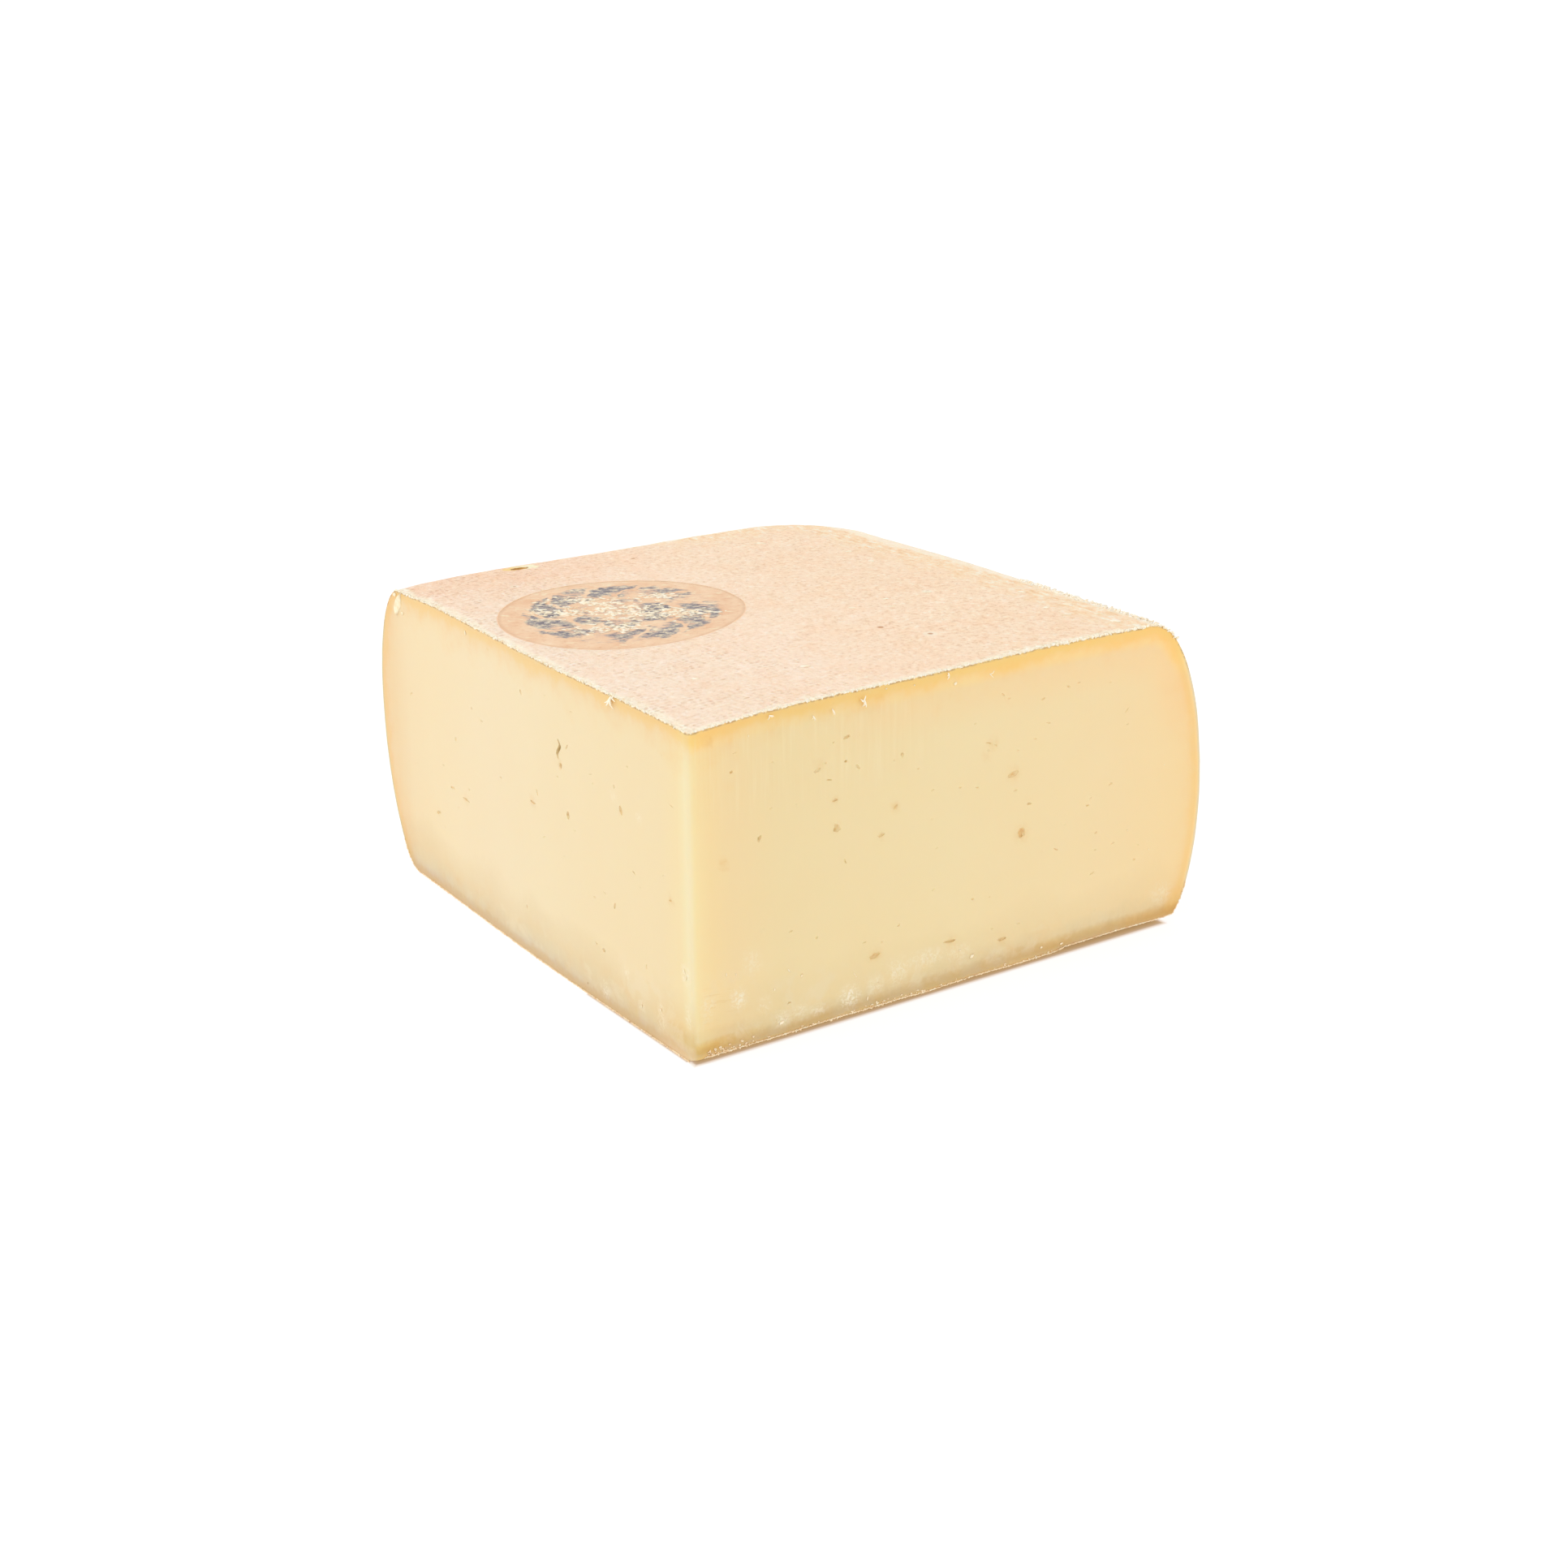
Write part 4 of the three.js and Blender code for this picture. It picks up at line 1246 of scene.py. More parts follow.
# Painted highlight: a ragged cream band along the crest of the far shoulders, where the rind turns away and
# catches the light from behind.
crest_ragged = paste.times(paste.maths("SUBTRACT", paste.noise(3.2, 3), 0.5), 5)
crest_line = paste.maths("MAXIMUM", paste.x, paste.maths("SUBTRACT", paste.y, 12.7))
crest_line = paste.maths("ADD", crest_line, crest_ragged)
crest_highlight = paste.times(paste.spread(crest_line, 127.0, 129.0), paste.spread(crest_line, 136, 132.5))
rind_colour = paste.layer(paste.times(crest_highlight, 0.8), rind_colour, srgb(255, 240, 216))

# The torn place round the nick, and small brown spots.
nick_x, nick_y = NICK_CENTRE
torn_noise = paste.times(paste.maths("SUBTRACT", paste.noise(1.8, 3), 0.5), 1.6)
torn = paste.maths("ADD", paste.away_from(nick_x + 0.8, nick_y + 0.6, 5.2, 2.4), torn_noise)
torn_colour = paste.blend(paste.x, [(nick_x - 2, srgb(248, 212, 138)), (nick_x + 2.5, srgb(253, 244, 206))])
rind_colour = paste.layer(paste.spread(torn, 0.8, 1.05, 0.95, 0), rind_colour, torn_colour)
BROWN_SPOTS = (
    # x, y, radius, pale halo radius
    (75.3, 35.7, 1.1, 0.0),
    (81.2, 24.5, 0.9, 2.3),
    (64.1, 129.1, 0.8, 0.0),
    (103.8, 54.6, 0.6, 1.8),
    (24.0, 119.5, 0.6, 1.5),
)
for x, y, radius, halo_radius in BROWN_SPOTS:
    if halo_radius:
        pale = paste.spread(paste.away_from(x, y, halo_radius, halo_radius), 0.55, 1.0, 0.7, 0)
        rind_colour = paste.layer(pale, rind_colour, srgb(254, 238, 214))
    spot = paste.spread(paste.away_from(x, y, radius, radius), 0.4, 1.0, 0.85, 0)
    rind_colour = paste.layer(spot, rind_colour, srgb(200, 140, 88))

# The wall of the label's seat is painted a bright tan, painted light against the shade in the narrow gap
# round the label.
seat_painted_light = paste.spread(paste.away_from(*LABEL_CENTRE, *LABEL_RADII), 1.02, 1.0, 0, 1)
rind_colour = paste.layer(seat_painted_light, rind_colour, srgb(255, 206, 160))

# Paste on the cuts and rind elsewhere; the cloth's dents and the flaking skin are fine relief.
cut_share = paste.attribute("cut")
surface = paste.layer(cut_share, rind_colour, paste_colour)
relief = paste.maths("MULTIPLY_ADD", dent, -0.2, paste.times(thread, 0.05))
relief = paste.maths("ADD", relief, paste.times(grain, 0.3))
relief = paste.maths("ADD", relief, paste.times(flaky, 0.4))
rind_relief = paste.times(relief, paste.maths("SUBTRACT", 1.0, cut_share))
cut_relief = paste.times(paste.times(drag, 0.03), cut_share)
dents = paste.node(
    "ShaderNodeBump",
    {"Height": paste.maths("ADD", rind_relief, cut_relief), "Distance": MM, "Strength": 1.0},
)
paste.skin(
    Base_Color=surface,
    Roughness=paste.spread(cut_share, 0, 1, 0.62, 0.42),
    Normal=dents.outputs[0],
    Subsurface_Weight=0.15,
    Subsurface_Radius=(1.0, 0.55, 0.22),
    Subsurface_Scale=0.003,
)
paste.shader.inputs["Specular IOR Level"].default_value = 0.35
cheese_mesh.materials.clear()
cheese_mesh.materials.append(paste.material)


def place_piece(name, mesh, replaced=None):
    """Puts a millimetre mesh where it belongs and hands it to the frame."""
    mesh.transform(Matrix.Translation(front_foot) @ Matrix.Scale(MM, 4))
    piece = bpy.data.objects.new(name, mesh)
    bpy.context.scene.collection.objects.link(piece)
    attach(piece, "root")
    if replaced:
        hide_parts(replaced)


place_piece("cheese_quarter", cheese_mesh, replaced="cheese")


# ---- Label ----
# A thin round label of edible casein, printed in slate blue and pressed into the young cheese,
# so it lies level with the rind and its print has worn off in flakes.
LABEL_RINGS = 44
LABEL_CRUMPLE, CRUMPLE_WIDE, CRUMPLE_DEEP = 0.09, 1.7, 1.1
LABEL_DROOP = 0.06  # of its rim
LABEL_CLEAR = 0.03  # between its rim and the floor of the seat
LABEL_GROWN = 0.18  # it has grown most of the way to the wall of its seat


def label_mesh():
    points, faces = [], []
    for share in (1.0, 0.992, *np.linspace(0.975, 0.03, LABEL_RINGS - 2)):
        x, y = label_outline(LABEL_GROWN, share)
        spots = [Vector((a / CRUMPLE_WIDE, b / CRUMPLE_DEEP, 9)) for a, b in zip(x, y)]
        crumple = np.array([LABEL_CRUMPLE * noise.noise(spot) for spot in spots])
        z = rind_level(x, y) + crumple * min(1, 12 * (1 - share))
        droop = LABEL_DROOP if share == 1.0 else 0.0
        points += [tuple(p) for p in np.column_stack((x, y, z - droop))]
    count = LABEL_POINTS
    for ring in range(LABEL_RINGS - 1):
        for i in range(count):
            j = (i + 1) % count
            a, b = ring * count, (ring + 1) * count
            faces.append((a + i, a + j, b + j, b + i))
    faces.append(tuple(range((LABEL_RINGS - 1) * count, LABEL_RINGS * count)))
    start = len(points)
    points += [(x, y, z - SEAT_DEPTH + LABEL_CLEAR) for x, y, z in points[:count]]
    faces += [(start + i, start + (i + 1) % count, (i + 1) % count, i) for i in range(count)]
    return joined_mesh("label", [(np.array(points), faces)])


casein = Paint("printed_casein")
tan = casein.blend(
    casein.noise(8, 4, 0.6),
    [(0.32, srgb(235, 190, 151)), (0.5, srgb(241, 203, 166)), (0.68, srgb(244, 212, 178))],
)
freckles = casein.noise(1.3, 4, 0.62)
tan = casein.layer(casein.spread(freckles, 0.47, 0.32, 0, 0.9), tan, tint(0.93, 0.86, 0.81), "MULTIPLY")
tan = casein.layer(casein.spread(freckles, 0.54, 0.68, 0, 0.8), tan, tint(1.03, 1.07, 1.11), "MULTIPLY")

# The print was a rosette in a wreath of slanting leaves.
ROSETTE_REACH, ROSETTE_PETALS, ROSETTE_WAIST = 12.5, 3, 0.7
WREATH_RADIUS, WREATH_WIDTH, WREATH_LEAVES, LEAF_SLANT = 19.0, 5.2, 11, 0.5
smudged_x, smudged_y, _ = casein.nudged(4.2, 6.5)
off_x = casein.maths("SUBTRACT", smudged_x, LABEL_CENTRE[0] + 3.5)
off_y = casein.maths("SUBTRACT", smudged_y, LABEL_CENTRE[1] + 3.5)
from_centre = casein.maths("SQRT", casein.maths("ADD", *(casein.times(v, v) for v in (off_x, off_y))))
round_centre = casein.maths("ARCTAN2", off_y, off_x)
petal = casein.maths("ABSOLUTE", casein.maths("COSINE", casein.times(round_centre, ROSETTE_PETALS)))
petal_reach = casein.spread(petal, 0, 1, ROSETTE_REACH * ROSETTE_WAIST, ROSETTE_REACH, soft=False)
rosette = casein.spread(casein.maths("SUBTRACT", petal_reach, from_centre), -0.6, 0.8)
off_wreath = casein.maths("SUBTRACT", from_centre, WREATH_RADIUS)
slant = casein.times(off_wreath, LEAF_SLANT)
leaf = casein.maths("SINE", casein.maths("MULTIPLY_ADD", round_centre, WREATH_LEAVES, slant))
wreath = casein.spread(casein.maths("ABSOLUTE", off_wreath), WREATH_WIDTH, WREATH_WIDTH - 1.5)
wreath = casein.times(wreath, casein.spread(leaf, -0.97, -0.70))
motif = casein.maths("MAXIMUM", rosette, wreath)
WEAR_TURN = 34.2  # degrees from +X to the rubbed streaks, clockwise seen from above
rubbed = casein.noise(2.0, 5, 0.68, place=casein.stretch(WEAR_TURN, (0.5, 1.0, 1.0)))
worn_patches = casein.spread(casein.noise(12, 2), 0.38, 0.58, -0.17, 0.12, soft=False)
unrubbed = casein.maths("ADD", rubbed, worn_patches)
ink_share = casein.times(motif, casein.spread(unrubbed, 0.41, 0.56), 0.92)
ink_stain = casein.times(motif, casein.spread(unrubbed, 0.31, 0.46), 0.5)
ink = casein.blend(
    casein.noise(0.95, 4, 0.7, place=casein.stretch(WEAR_TURN, (0.6, 1.0, 1.0))),
    [
        (0.34, srgb(72, 70, 84)),
        (0.43, srgb(112, 112, 124)),
        (0.52, srgb(158, 152, 150)),
        (0.59, srgb(214, 196, 164)),
        (0.67, srgb(247, 233, 203)),
    ],
)
label_colour = casein.layer(ink_stain, tan, srgb(208, 172, 156))
label_colour = casein.layer(ink_share, label_colour, ink)
peeling = casein.noise(1.1, 3, 0.6, place=casein.stretch(WEAR_TURN, (0.36, 1.0, 1.0)))
near_print = casein.spread(casein.noise(6, 2), 0.42, 0.56, 0.1, 1.0)
peel_share = casein.times(casein.spread(peeling, 0.56, 0.63, 0, 0.8), near_print)
label_colour = casein.layer(peel_share, label_colour, srgb(246, 226, 192))
at_rim = casein.spread(casein.away_from(*LABEL_CENTRE, *LABEL_RADII), 0.965, 0.995, 0, 0.35)
label_colour = casein.layer(at_rim, label_colour, srgb(216, 168, 130))
label_relief = casein.maths("ADD", casein.times(peeling, 0.35), casein.times(freckles, 0.12))
label_dents = casein.node("ShaderNodeBump", {"Height": label_relief, "Distance": MM, "Strength": 1.0})
casein.skin(
    Base_Color=label_colour,
    Roughness=casein.spread(ink_share, 0, 1, 0.6, 0.5),
    Normal=label_dents.outputs[0],
)
casein.shader.inputs["Specular IOR Level"].default_value = 0.35

label_shape = label_mesh()
label_shape.materials.append(casein.material)
label_shape.shade_smooth()
label_shape.set_sharp_from_angle(angle=math.radians(38))
place_piece("label", label_shape, replaced="label")


# ---- Rim crumbs ----
# The dry skin of the rind crumbles under the wire, which leaves a lip of cream crumbs along both
# top edges of the cuts. It is coarser towards the far end of the right cut.
CRUMB_SHAPES = 3
CRUMB_LUMPS = 0.17  # of a crumb 1 mm across
LIP_STEP = 0.8
LIP_OUT = 0.10  # the crumbs hang a little over the cuts
LIP_UP = 0.14
LIP_END = 139.0
LIP_LOWEST = 71.5  # the lip ends part of the way down the far shoulders
LIP_COARSE = 97.0  # from here on along the right cut it is coarser


def skin_height(x, y, from_above=True):
    """Where a plumb line meets the rind."""
    start, heading = (120, -1) if from_above else (-20, 1)
    return skin_tree.ray_cast(Vector((x, y, start)), Vector((0, 0, heading)))[0].z


class CrumbTree(Nodes):
    """A Geometry Nodes tree that lays crumbs on points."""

    def __init__(self, name):
        self.tree = bpy.data.node_groups.new(name, "GeometryNodeTree")
        self.tree.is_modifier = True
        self.tree.interface.new_socket("Geometry", in_out="INPUT", socket_type="NodeSocketGeometry")
        self.tree.interface.new_socket("Geometry", in_out="OUTPUT", socket_type="NodeSocketGeometry")
        self.sizes = {}

    def size_input(self, name, kind, value):
        made = self.tree.interface.new_socket(name, in_out="INPUT", socket_type=kind)
        self.sizes[made.identifier] = value

    def between(self, low, high, seed, kind="FLOAT_VECTOR"):
        made = self.node("FunctionNodeRandomValue", {}, data_type=kind)
        usable = [socket for socket in made.inputs if socket.enabled]
        for socket, value in zip(usable, (low, high)):
            self.plug(socket, value)
        usable[-1].default_value = seed
        return next(socket for socket in made.outputs if socket.enabled)

    def crumb(self, seed):
        """One lumpy crumb, 1 mm across before scaling."""
        ball = self.node("GeometryNodeMeshUVSphere", {"Segments": 7, "Rings": 5, "Radius": 0.5})
        jog = self.between((-CRUMB_LUMPS,) * 3, (CRUMB_LUMPS,) * 3, seed)
        return self.node("GeometryNodeSetPosition", {0: ball.outputs["Mesh"], "Offset": jog}).outputs[0]

    def finish(self, points, turn, small, large, seed, material):
        """Crumbs on the points, real mesh in the end."""
        shapes = self.node("GeometryNodeGeometryToInstance", {})
        for number in range(CRUMB_SHAPES):
            self.tree.links.new(self.crumb(seed + number), shapes.inputs[0])
        laid = self.node(
            "GeometryNodeInstanceOnPoints",
            {
                "Points": points,
                "Instance": shapes.outputs[0],
                "Pick Instance": True,
                "Instance Index": self.between(0, CRUMB_SHAPES - 1, seed + 3, "INT"),
                "Rotation": turn,
                "Scale": self.between(small, large, seed + 4),
            },
        )
        solid = self.node("GeometryNodeRealizeInstances", {0: laid.outputs[0]})
        painted = self.node("GeometryNodeSetMaterial", {0: solid.outputs[0], "Material": material})
        self.node("NodeGroupOutput", {0: painted.outputs[0]})


def settle(name, mesh, crumb_tree):
    """Runs a tree on a mesh and keeps the result as a plain mesh."""
    carrier = bpy.data.objects.new(name, mesh)
    bpy.context.scene.collection.objects.link(carrier)
    step = carrier.modifiers.new("crumbs", "NODES")
    step.node_group = crumb_tree.tree
    for identifier, value in crumb_tree.sizes.items():
        step[identifier] = value
    seen = carrier.evaluated_get(bpy.context.evaluated_depsgraph_get())
    result = bpy.data.meshes.new_from_object(seen)
    bpy.data.objects.remove(carrier)
    result.shade_smooth()
    return result


def lip_crumbs(name, paths, pitch, small, large, stray, seed, material):
    """Crumbs along paths; the sizes are along the path, across it and tall."""
    points, edges = [], []
    for path in paths:
        start = len(points)
        points += path
        edges += [(i, i + 1) for i in range(start, len(points) - 1)]
    mesh = bpy.data.meshes.new(name)
    mesh.from_pydata(points, edges, [])
    tree = CrumbTree(name)
    tree.size_input("Pitch", "NodeSocketFloat", pitch)
    tree.size_input("Smallest", "NodeSocketVector", small)
    tree.size_input("Largest", "NodeSocketVector", large)
    tree.size_input("Stray", "NodeSocketVector", stray)
    given = tree.node("NodeGroupInput", {}).outputs
    line = tree.node("GeometryNodeMeshToCurve", {0: given["Geometry"]})
    spaced = tree.node(
        "GeometryNodeResampleCurve", {"Curve": line.outputs[0], "Length": given["Pitch"]}, mode="LENGTH"
    )
    back = tree.node("ShaderNodeVectorMath", {0: given["Stray"], 1: (-1, -1, -1)}, operation="MULTIPLY")
    off = tree.between(back.outputs[0], given["Stray"], seed + 7)
    strewn = tree.node("GeometryNodeSetPosition", {0: spaced.outputs[0], "Offset": off})
    along = tree.node("GeometryNodeInputTangent", {})
    aimed = tree.node("FunctionNodeAlignRotationToVector", {"Vector": along.outputs[0]}, axis="X")
    tilt = tree.between((-0.5, -0.35, -0.45), (0.5, 0.35, 0.45), seed + 8)
    tilted = tree.node("FunctionNodeRotateRotation", {0: aimed.outputs[0], 1: tilt}, rotation_space="LOCAL")
    tree.finish(strewn.outputs[0], tilted.outputs[0], given["Smallest"], given["Largest"], seed, material)
    return settle(name, mesh, tree)


def strewn_flakes(name, points, turn, small, large, seed, material):
    """Flat crumbs on given points, all lying about the same way."""
    mesh = bpy.data.meshes.new(name)
    mesh.from_pydata(points, [], [])
    tree = CrumbTree(name)
    tree.size_input("Smallest", "NodeSocketVector", small)
    tree.size_input("Largest", "NodeSocketVector", large)
    given = tree.node("NodeGroupInput", {}).outputs
    lie = tree.between((-0.12, -0.12, turn - 0.35), (0.12, 0.12, turn + 0.35), seed + 8)
    tree.finish(given["Geometry"], lie, given["Smallest"], given["Largest"], seed, material)
    return settle(name, mesh, tree)


def crumb_paint(name, size, stops):
    """A dull dry finish, clouded between a few tones."""
    made = Paint(name)
    made.skin(Base_Color=made.blend(made.noise(size, 3, 0.6), stops), Roughness=0.7)
    made.shader.inputs["Specular IOR Level"].default_value = 0.3
    return made


dry_rind = crumb_paint(
    "dry_rind_crumbs",
    1.4,
    [(0.3, srgb(250, 226, 186)), (0.45, srgb(255, 244, 218)), (0.7, srgb(255, 250, 234))],
)
stations = np.arange(CUT_EDGE_RADIUS, LIP_END, LIP_STEP)
corner_arc = edge_arc(5)[0][1:-1]
lip_plan = [(LIP_OUT, s) for s in stations[::-1]]
lip_plan += [(x + LIP_OUT, y + LIP_OUT) for x, y in corner_arc[::-1]]
lip_plan += [(s, LIP_OUT) for s in stations]
top_lip = [(x, y, skin_height(x, y) + LIP_UP) for x, y in lip_plan]
top_lip = [point for point in top_lip if point[2] > LIP_LOWEST]
fine_lip = [point for point in top_lip if point[0] < LIP_COARSE]
coarse_lip = [point for point in top_lip if point[0] > LIP_COARSE - LIP_STEP]
rim_crumbs = lip_crumbs(
    "rim_crumbs",
    [fine_lip],
    pitch=0.4,
    small=(0.2, 0.18, 0.14),
    large=(1.15, 0.66, 0.6),
    stray=(0.2, 0.17, 0.13),
    seed=3,
    material=dry_rind.material,
)
place_piece("rim_crumbs", rim_crumbs)
coarse_crumbs = lip_crumbs(
    "coarse_crumbs",
    [coarse_lip],
    pitch=0.42,
    small=(0.2, 0.2, 0.16),
    large=(1.3, 0.8, 0.8),
    stray=(0.5, 0.3, 0.14),
    seed=47,
    material=dry_rind.material,
)
place_piece("coarse_crumbs", coarse_crumbs)


# ---- Crest crumbs ----
# Where the top rolls over into the far right shoulder the dry skin has cracked into flat crumbs,
# paler than the rind, which carry on the painted highlight along the crest. They still sit on the rind.
CREST_X, CREST_UP = 129.6, 0.02
CREST_RUN = (2.0, 50.0)
shoulder_rind = crumb_paint(
    "shoulder_rind_crumbs",
    1.0,
    [(0.3, srgb(255, 224, 184)), (0.46, srgb(255, 242, 216)), (0.66, srgb(255, 251, 240))],
)
crest_path = [(CREST_X, y, skin_height(CREST_X, y) + CREST_UP) for y in np.arange(*CREST_RUN, LIP_STEP)]
crest_crumbs = lip_crumbs(
    "crest_crumbs",
    [crest_path],
    pitch=0.2,
    small=(0.5, 0.4, 0.3),
    large=(1.6, 1.0, 0.75),
    stray=(1.0, 0.8, 0.1),
    seed=53,
    material=shoulder_rind.material,
)
place_piece("crest_crumbs", crest_crumbs)


# ---- Foot crumbs ----
# The wire dragged a finer lip of damp crumbs out of the bottom rind, along the foot of both cuts.
# On the right it follows the edge of the low wedge that was trimmed away.
FOOT_LIP_RUN = (2.5, 143.0)
FOOT_LIP_OUT, FOOT_LIP_IN = 0.05, 0.3  # where the lip runs and where the rind is felt for
FOOT_LIP_UP = (0.1, 0.15)  # on the right, on the left
damp_rind = crumb_paint(
    "damp_rind_crumbs",
    1.4,
    [(0.34, srgb(236, 200, 154)), (0.46, srgb(254, 226, 184)), (0.66, srgb(255, 242, 212))],
)
foot_right_line, foot_left_line = [], []
for station in np.arange(*FOOT_LIP_RUN, LIP_STEP):
    right_height = max(wedge_height(station), skin_height(station, FOOT_LIP_IN, from_above=False))
    left_height = skin_height(FOOT_LIP_IN, station, from_above=False)
    foot_right_line.append((station, FOOT_LIP_OUT, right_height + FOOT_LIP_UP[0]))
    foot_left_line.append((FOOT_LIP_OUT, station, left_height + FOOT_LIP_UP[1]))
foot_crumbs = lip_crumbs(
    "foot_crumbs",
    [foot_right_line, foot_left_line],
    pitch=0.3,
    small=(0.3, 0.22, 0.16),
    large=(0.8, 0.45, 0.38),
    stray=(0.1, 0.06, 0.06),
    seed=21,
    material=damp_rind.material,
)
place_piece("foot_crumbs", foot_crumbs)


# ---- Swept crumbs ----
# Loose crumbs of the bottom rind that were swept against the foot of the right cut and stuck to
# the damp paste, more of them near the front edge and a third of the way along.
SWEPT_CRUMBS = (
    # along the right cut from, to, height from, to, crumbs
    (3.0, 15.0, 1.2, 3.0, 60),
    (15.0, 44.0, 1.1, 2.0, 25),
    (44.0, 62.0, 1.2, 2.6, 50),
    (62.0, 100.0, 1.3, 2.2, 30),
)
SWEPT_SEED = 12
SWEPT_IN = 0.04  # their middles lie just inside the face
rng = random.Random(SWEPT_SEED)
swept_points = []
for low_x, high_x, low_z, high_z, count in SWEPT_CRUMBS:
    for _ in range(count):
        x = rng.uniform(low_x, high_x)
        swept_points.append((x, SWEPT_IN, low_z + (high_z - low_z) * rng.random() ** 2))
swept_crumbs = strewn_flakes(
    "swept_crumbs",
    swept_points,
    turn=0.0,
    small=(0.2, 0.16, 0.15),
    large=(0.75, 0.4, 0.4),
    seed=61,
    material=damp_rind.material,
)
place_piece("swept_crumbs", swept_crumbs)


# ---- Label flakes ----
# Where the print wore off, the casein stands up in small pale flakes. They lie the way the label
# was rubbed and hang together in patches.
FLAKE_PATCHES = (
    # middle of a patch in mm from the middle of the label, spread along and across, flakes
    (-13.0, 9.0, 6.0, 3.5, 70),
    (-2.0, 14.0, 7.5, 3.0, 80),
    (1.0, 1.0, 8.0, 5.0, 130),
    (12.0, -9.0, 6.0, 3.5, 80),
    (-9.0, -9.0, 6.5, 3.0, 70),
    (15.0, 7.0, 4.0, 3.0, 35),
    (0.0, 0.0, 15.0, 13.0, 70),
)
PATCH_SPREAD = 1.6  # a patch's spread, in standard deviations
FLAKES_END = 0.93  # of the label's radius
FLAKES_UP = 0.02
LABEL_FLAKE_SEED = 8
wear_heading = -math.radians(WEAR_TURN)
rng = random.Random(LABEL_FLAKE_SEED)
flake_points = []
for patch_x, patch_y, along_wear, across_wear, count in FLAKE_PATCHES:
    for _ in range(count):
        a = rng.gauss(0, along_wear / PATCH_SPREAD)
        b = rng.gauss(0, across_wear / PATCH_SPREAD)
        x = patch_x + a * math.cos(wear_heading) - b * math.sin(wear_heading)
        y = patch_y + a * math.sin(wear_heading) + b * math.cos(wear_heading)
        if math.hypot(x / LABEL_RADII[0], y / LABEL_RADII[1]) < FLAKES_END:
            x, y = x + LABEL_CENTRE[0], y + LABEL_CENTRE[1]
            flake_points.append((x, y, float(rind_level(x, y)[0]) + FLAKES_UP))
label_flakes = strewn_flakes(
    "label_flakes",
    flake_points,
    turn=wear_heading,
    small=(0.4, 0.25, 0.16),
    large=(2.5, 0.7, 0.42),
    seed=31,
    material=dry_rind.material,
)
place_piece("label_flakes", label_flakes)


# ---- Torn flap ----
# Where the wire left the rind, at the far top corner of the left cut, it folded back a thin tongue
# of paste that lies against the face.
FLAP_RIDGE = (
    # distance from the front edge, height
    (134.8, 76.3),
    (136.1, 75.5),
    (137.2, 74.5),
    (138.0, 73.4),
    (138.4, 72.2),
    (138.2, 71.2),
    (137.6, 70.6),
)
FLAP_ROOT = (135.3, 73.2)
FLAP_PROFILE = (
    # share of the way from the ridge to the root, height over the face
    (-0.14, -0.15),
    (-0.08, 0.22),
    (0.0, 0.46),
    (0.12, 0.42),
    (0.26, 0.24),
    (0.48, 0.12),
    (0.75, 0.06),
    (1.0, -0.15),
)
FLAP_STEPS = 29
FLAP_LUMPS, FLAP_LUMP_SIZE = 0.10, 0.8


def flap_mesh():
    ridge = np.array(FLAP_RIDGE)
    share = np.linspace(0, len(ridge) - 1, FLAP_STEPS)
    line = np.column_stack([np.interp(share, range(len(ridge)), ridge[:, i]) for i in (0, 1)])
    points = []
    for y, z in line:
        for inward, lift in FLAP_PROFILE:
            py, pz = y + (FLAP_ROOT[0] - y) * inward, z + (FLAP_ROOT[1] - z) * inward
            rough = FLAP_LUMPS * noise.noise(Vector((py, pz, 3)) / FLAP_LUMP_SIZE)
            points.append((-lift - rough, py, pz))
    points = np.array(points)
    columns = len(FLAP_PROFILE)
    faces = quads(len(line), columns)
    faces.append(tuple(range(columns)))
    faces.append(tuple(len(points) - columns + i for i in range(columns))[::-1])
    return joined_mesh("flap", [(points, faces)])


torn_paste = Paint("torn_paste")
torn_paste.skin(
    Base_Color=torn_paste.blend(
        torn_paste.noise(1.6, 3), [(0.35, srgb(246, 224, 182)), (0.65, srgb(255, 242, 212))]
    ),
    Roughness=0.55,
)
torn_paste.shader.inputs["Specular IOR Level"].default_value = 0.35
flap_shape = flap_mesh()
flap_shape.materials.append(torn_paste.material)
flap_shape.shade_smooth()
place_piece("torn_flap", flap_shape)


# ---- Tufts ----
# Short curled fibres of rind that the wire pulled out of the rim. Each is a tapering thread, and
# they lie against the cut faces in small bunches.
TUFTS = (
    # on the left face, distance from the front edge, height, fibres, reach, heading, fan, width
    (True, 30.3, 74.7, 3, 3.3, -78, 12, 0.26),
    (True, 30.5, 74.2, 3, 2.7, -112, 14, 0.22),
    (True, 29.8, 74.6, 3, 1.8, 190, 30, 0.2),
    (False, 19.9, 74.4, 5, 1.0, -90, 90, 0.15),
    (False, 44.2, 73.4, 4, 1.7, -60, 50, 0.2),
    (False, 44.0, 73.2, 3, 1.3, 150, 50, 0.2),
    (False, 30.9, 72.4, 3, 1.7, -95, 16, 0.1),
    (False, 35.8, 73.0, 3, 1.5, -80, 25, 0.1),
    (False, 78.6, 73.4, 3, 1.8, -25, 40, 0.09),
    (False, 66.9, 75.6, 3, 1.4, -95, 25, 0.18),
)
TUFT_SEED = 5
TUFT_RINGS, TUFT_SIDES = 6, 5


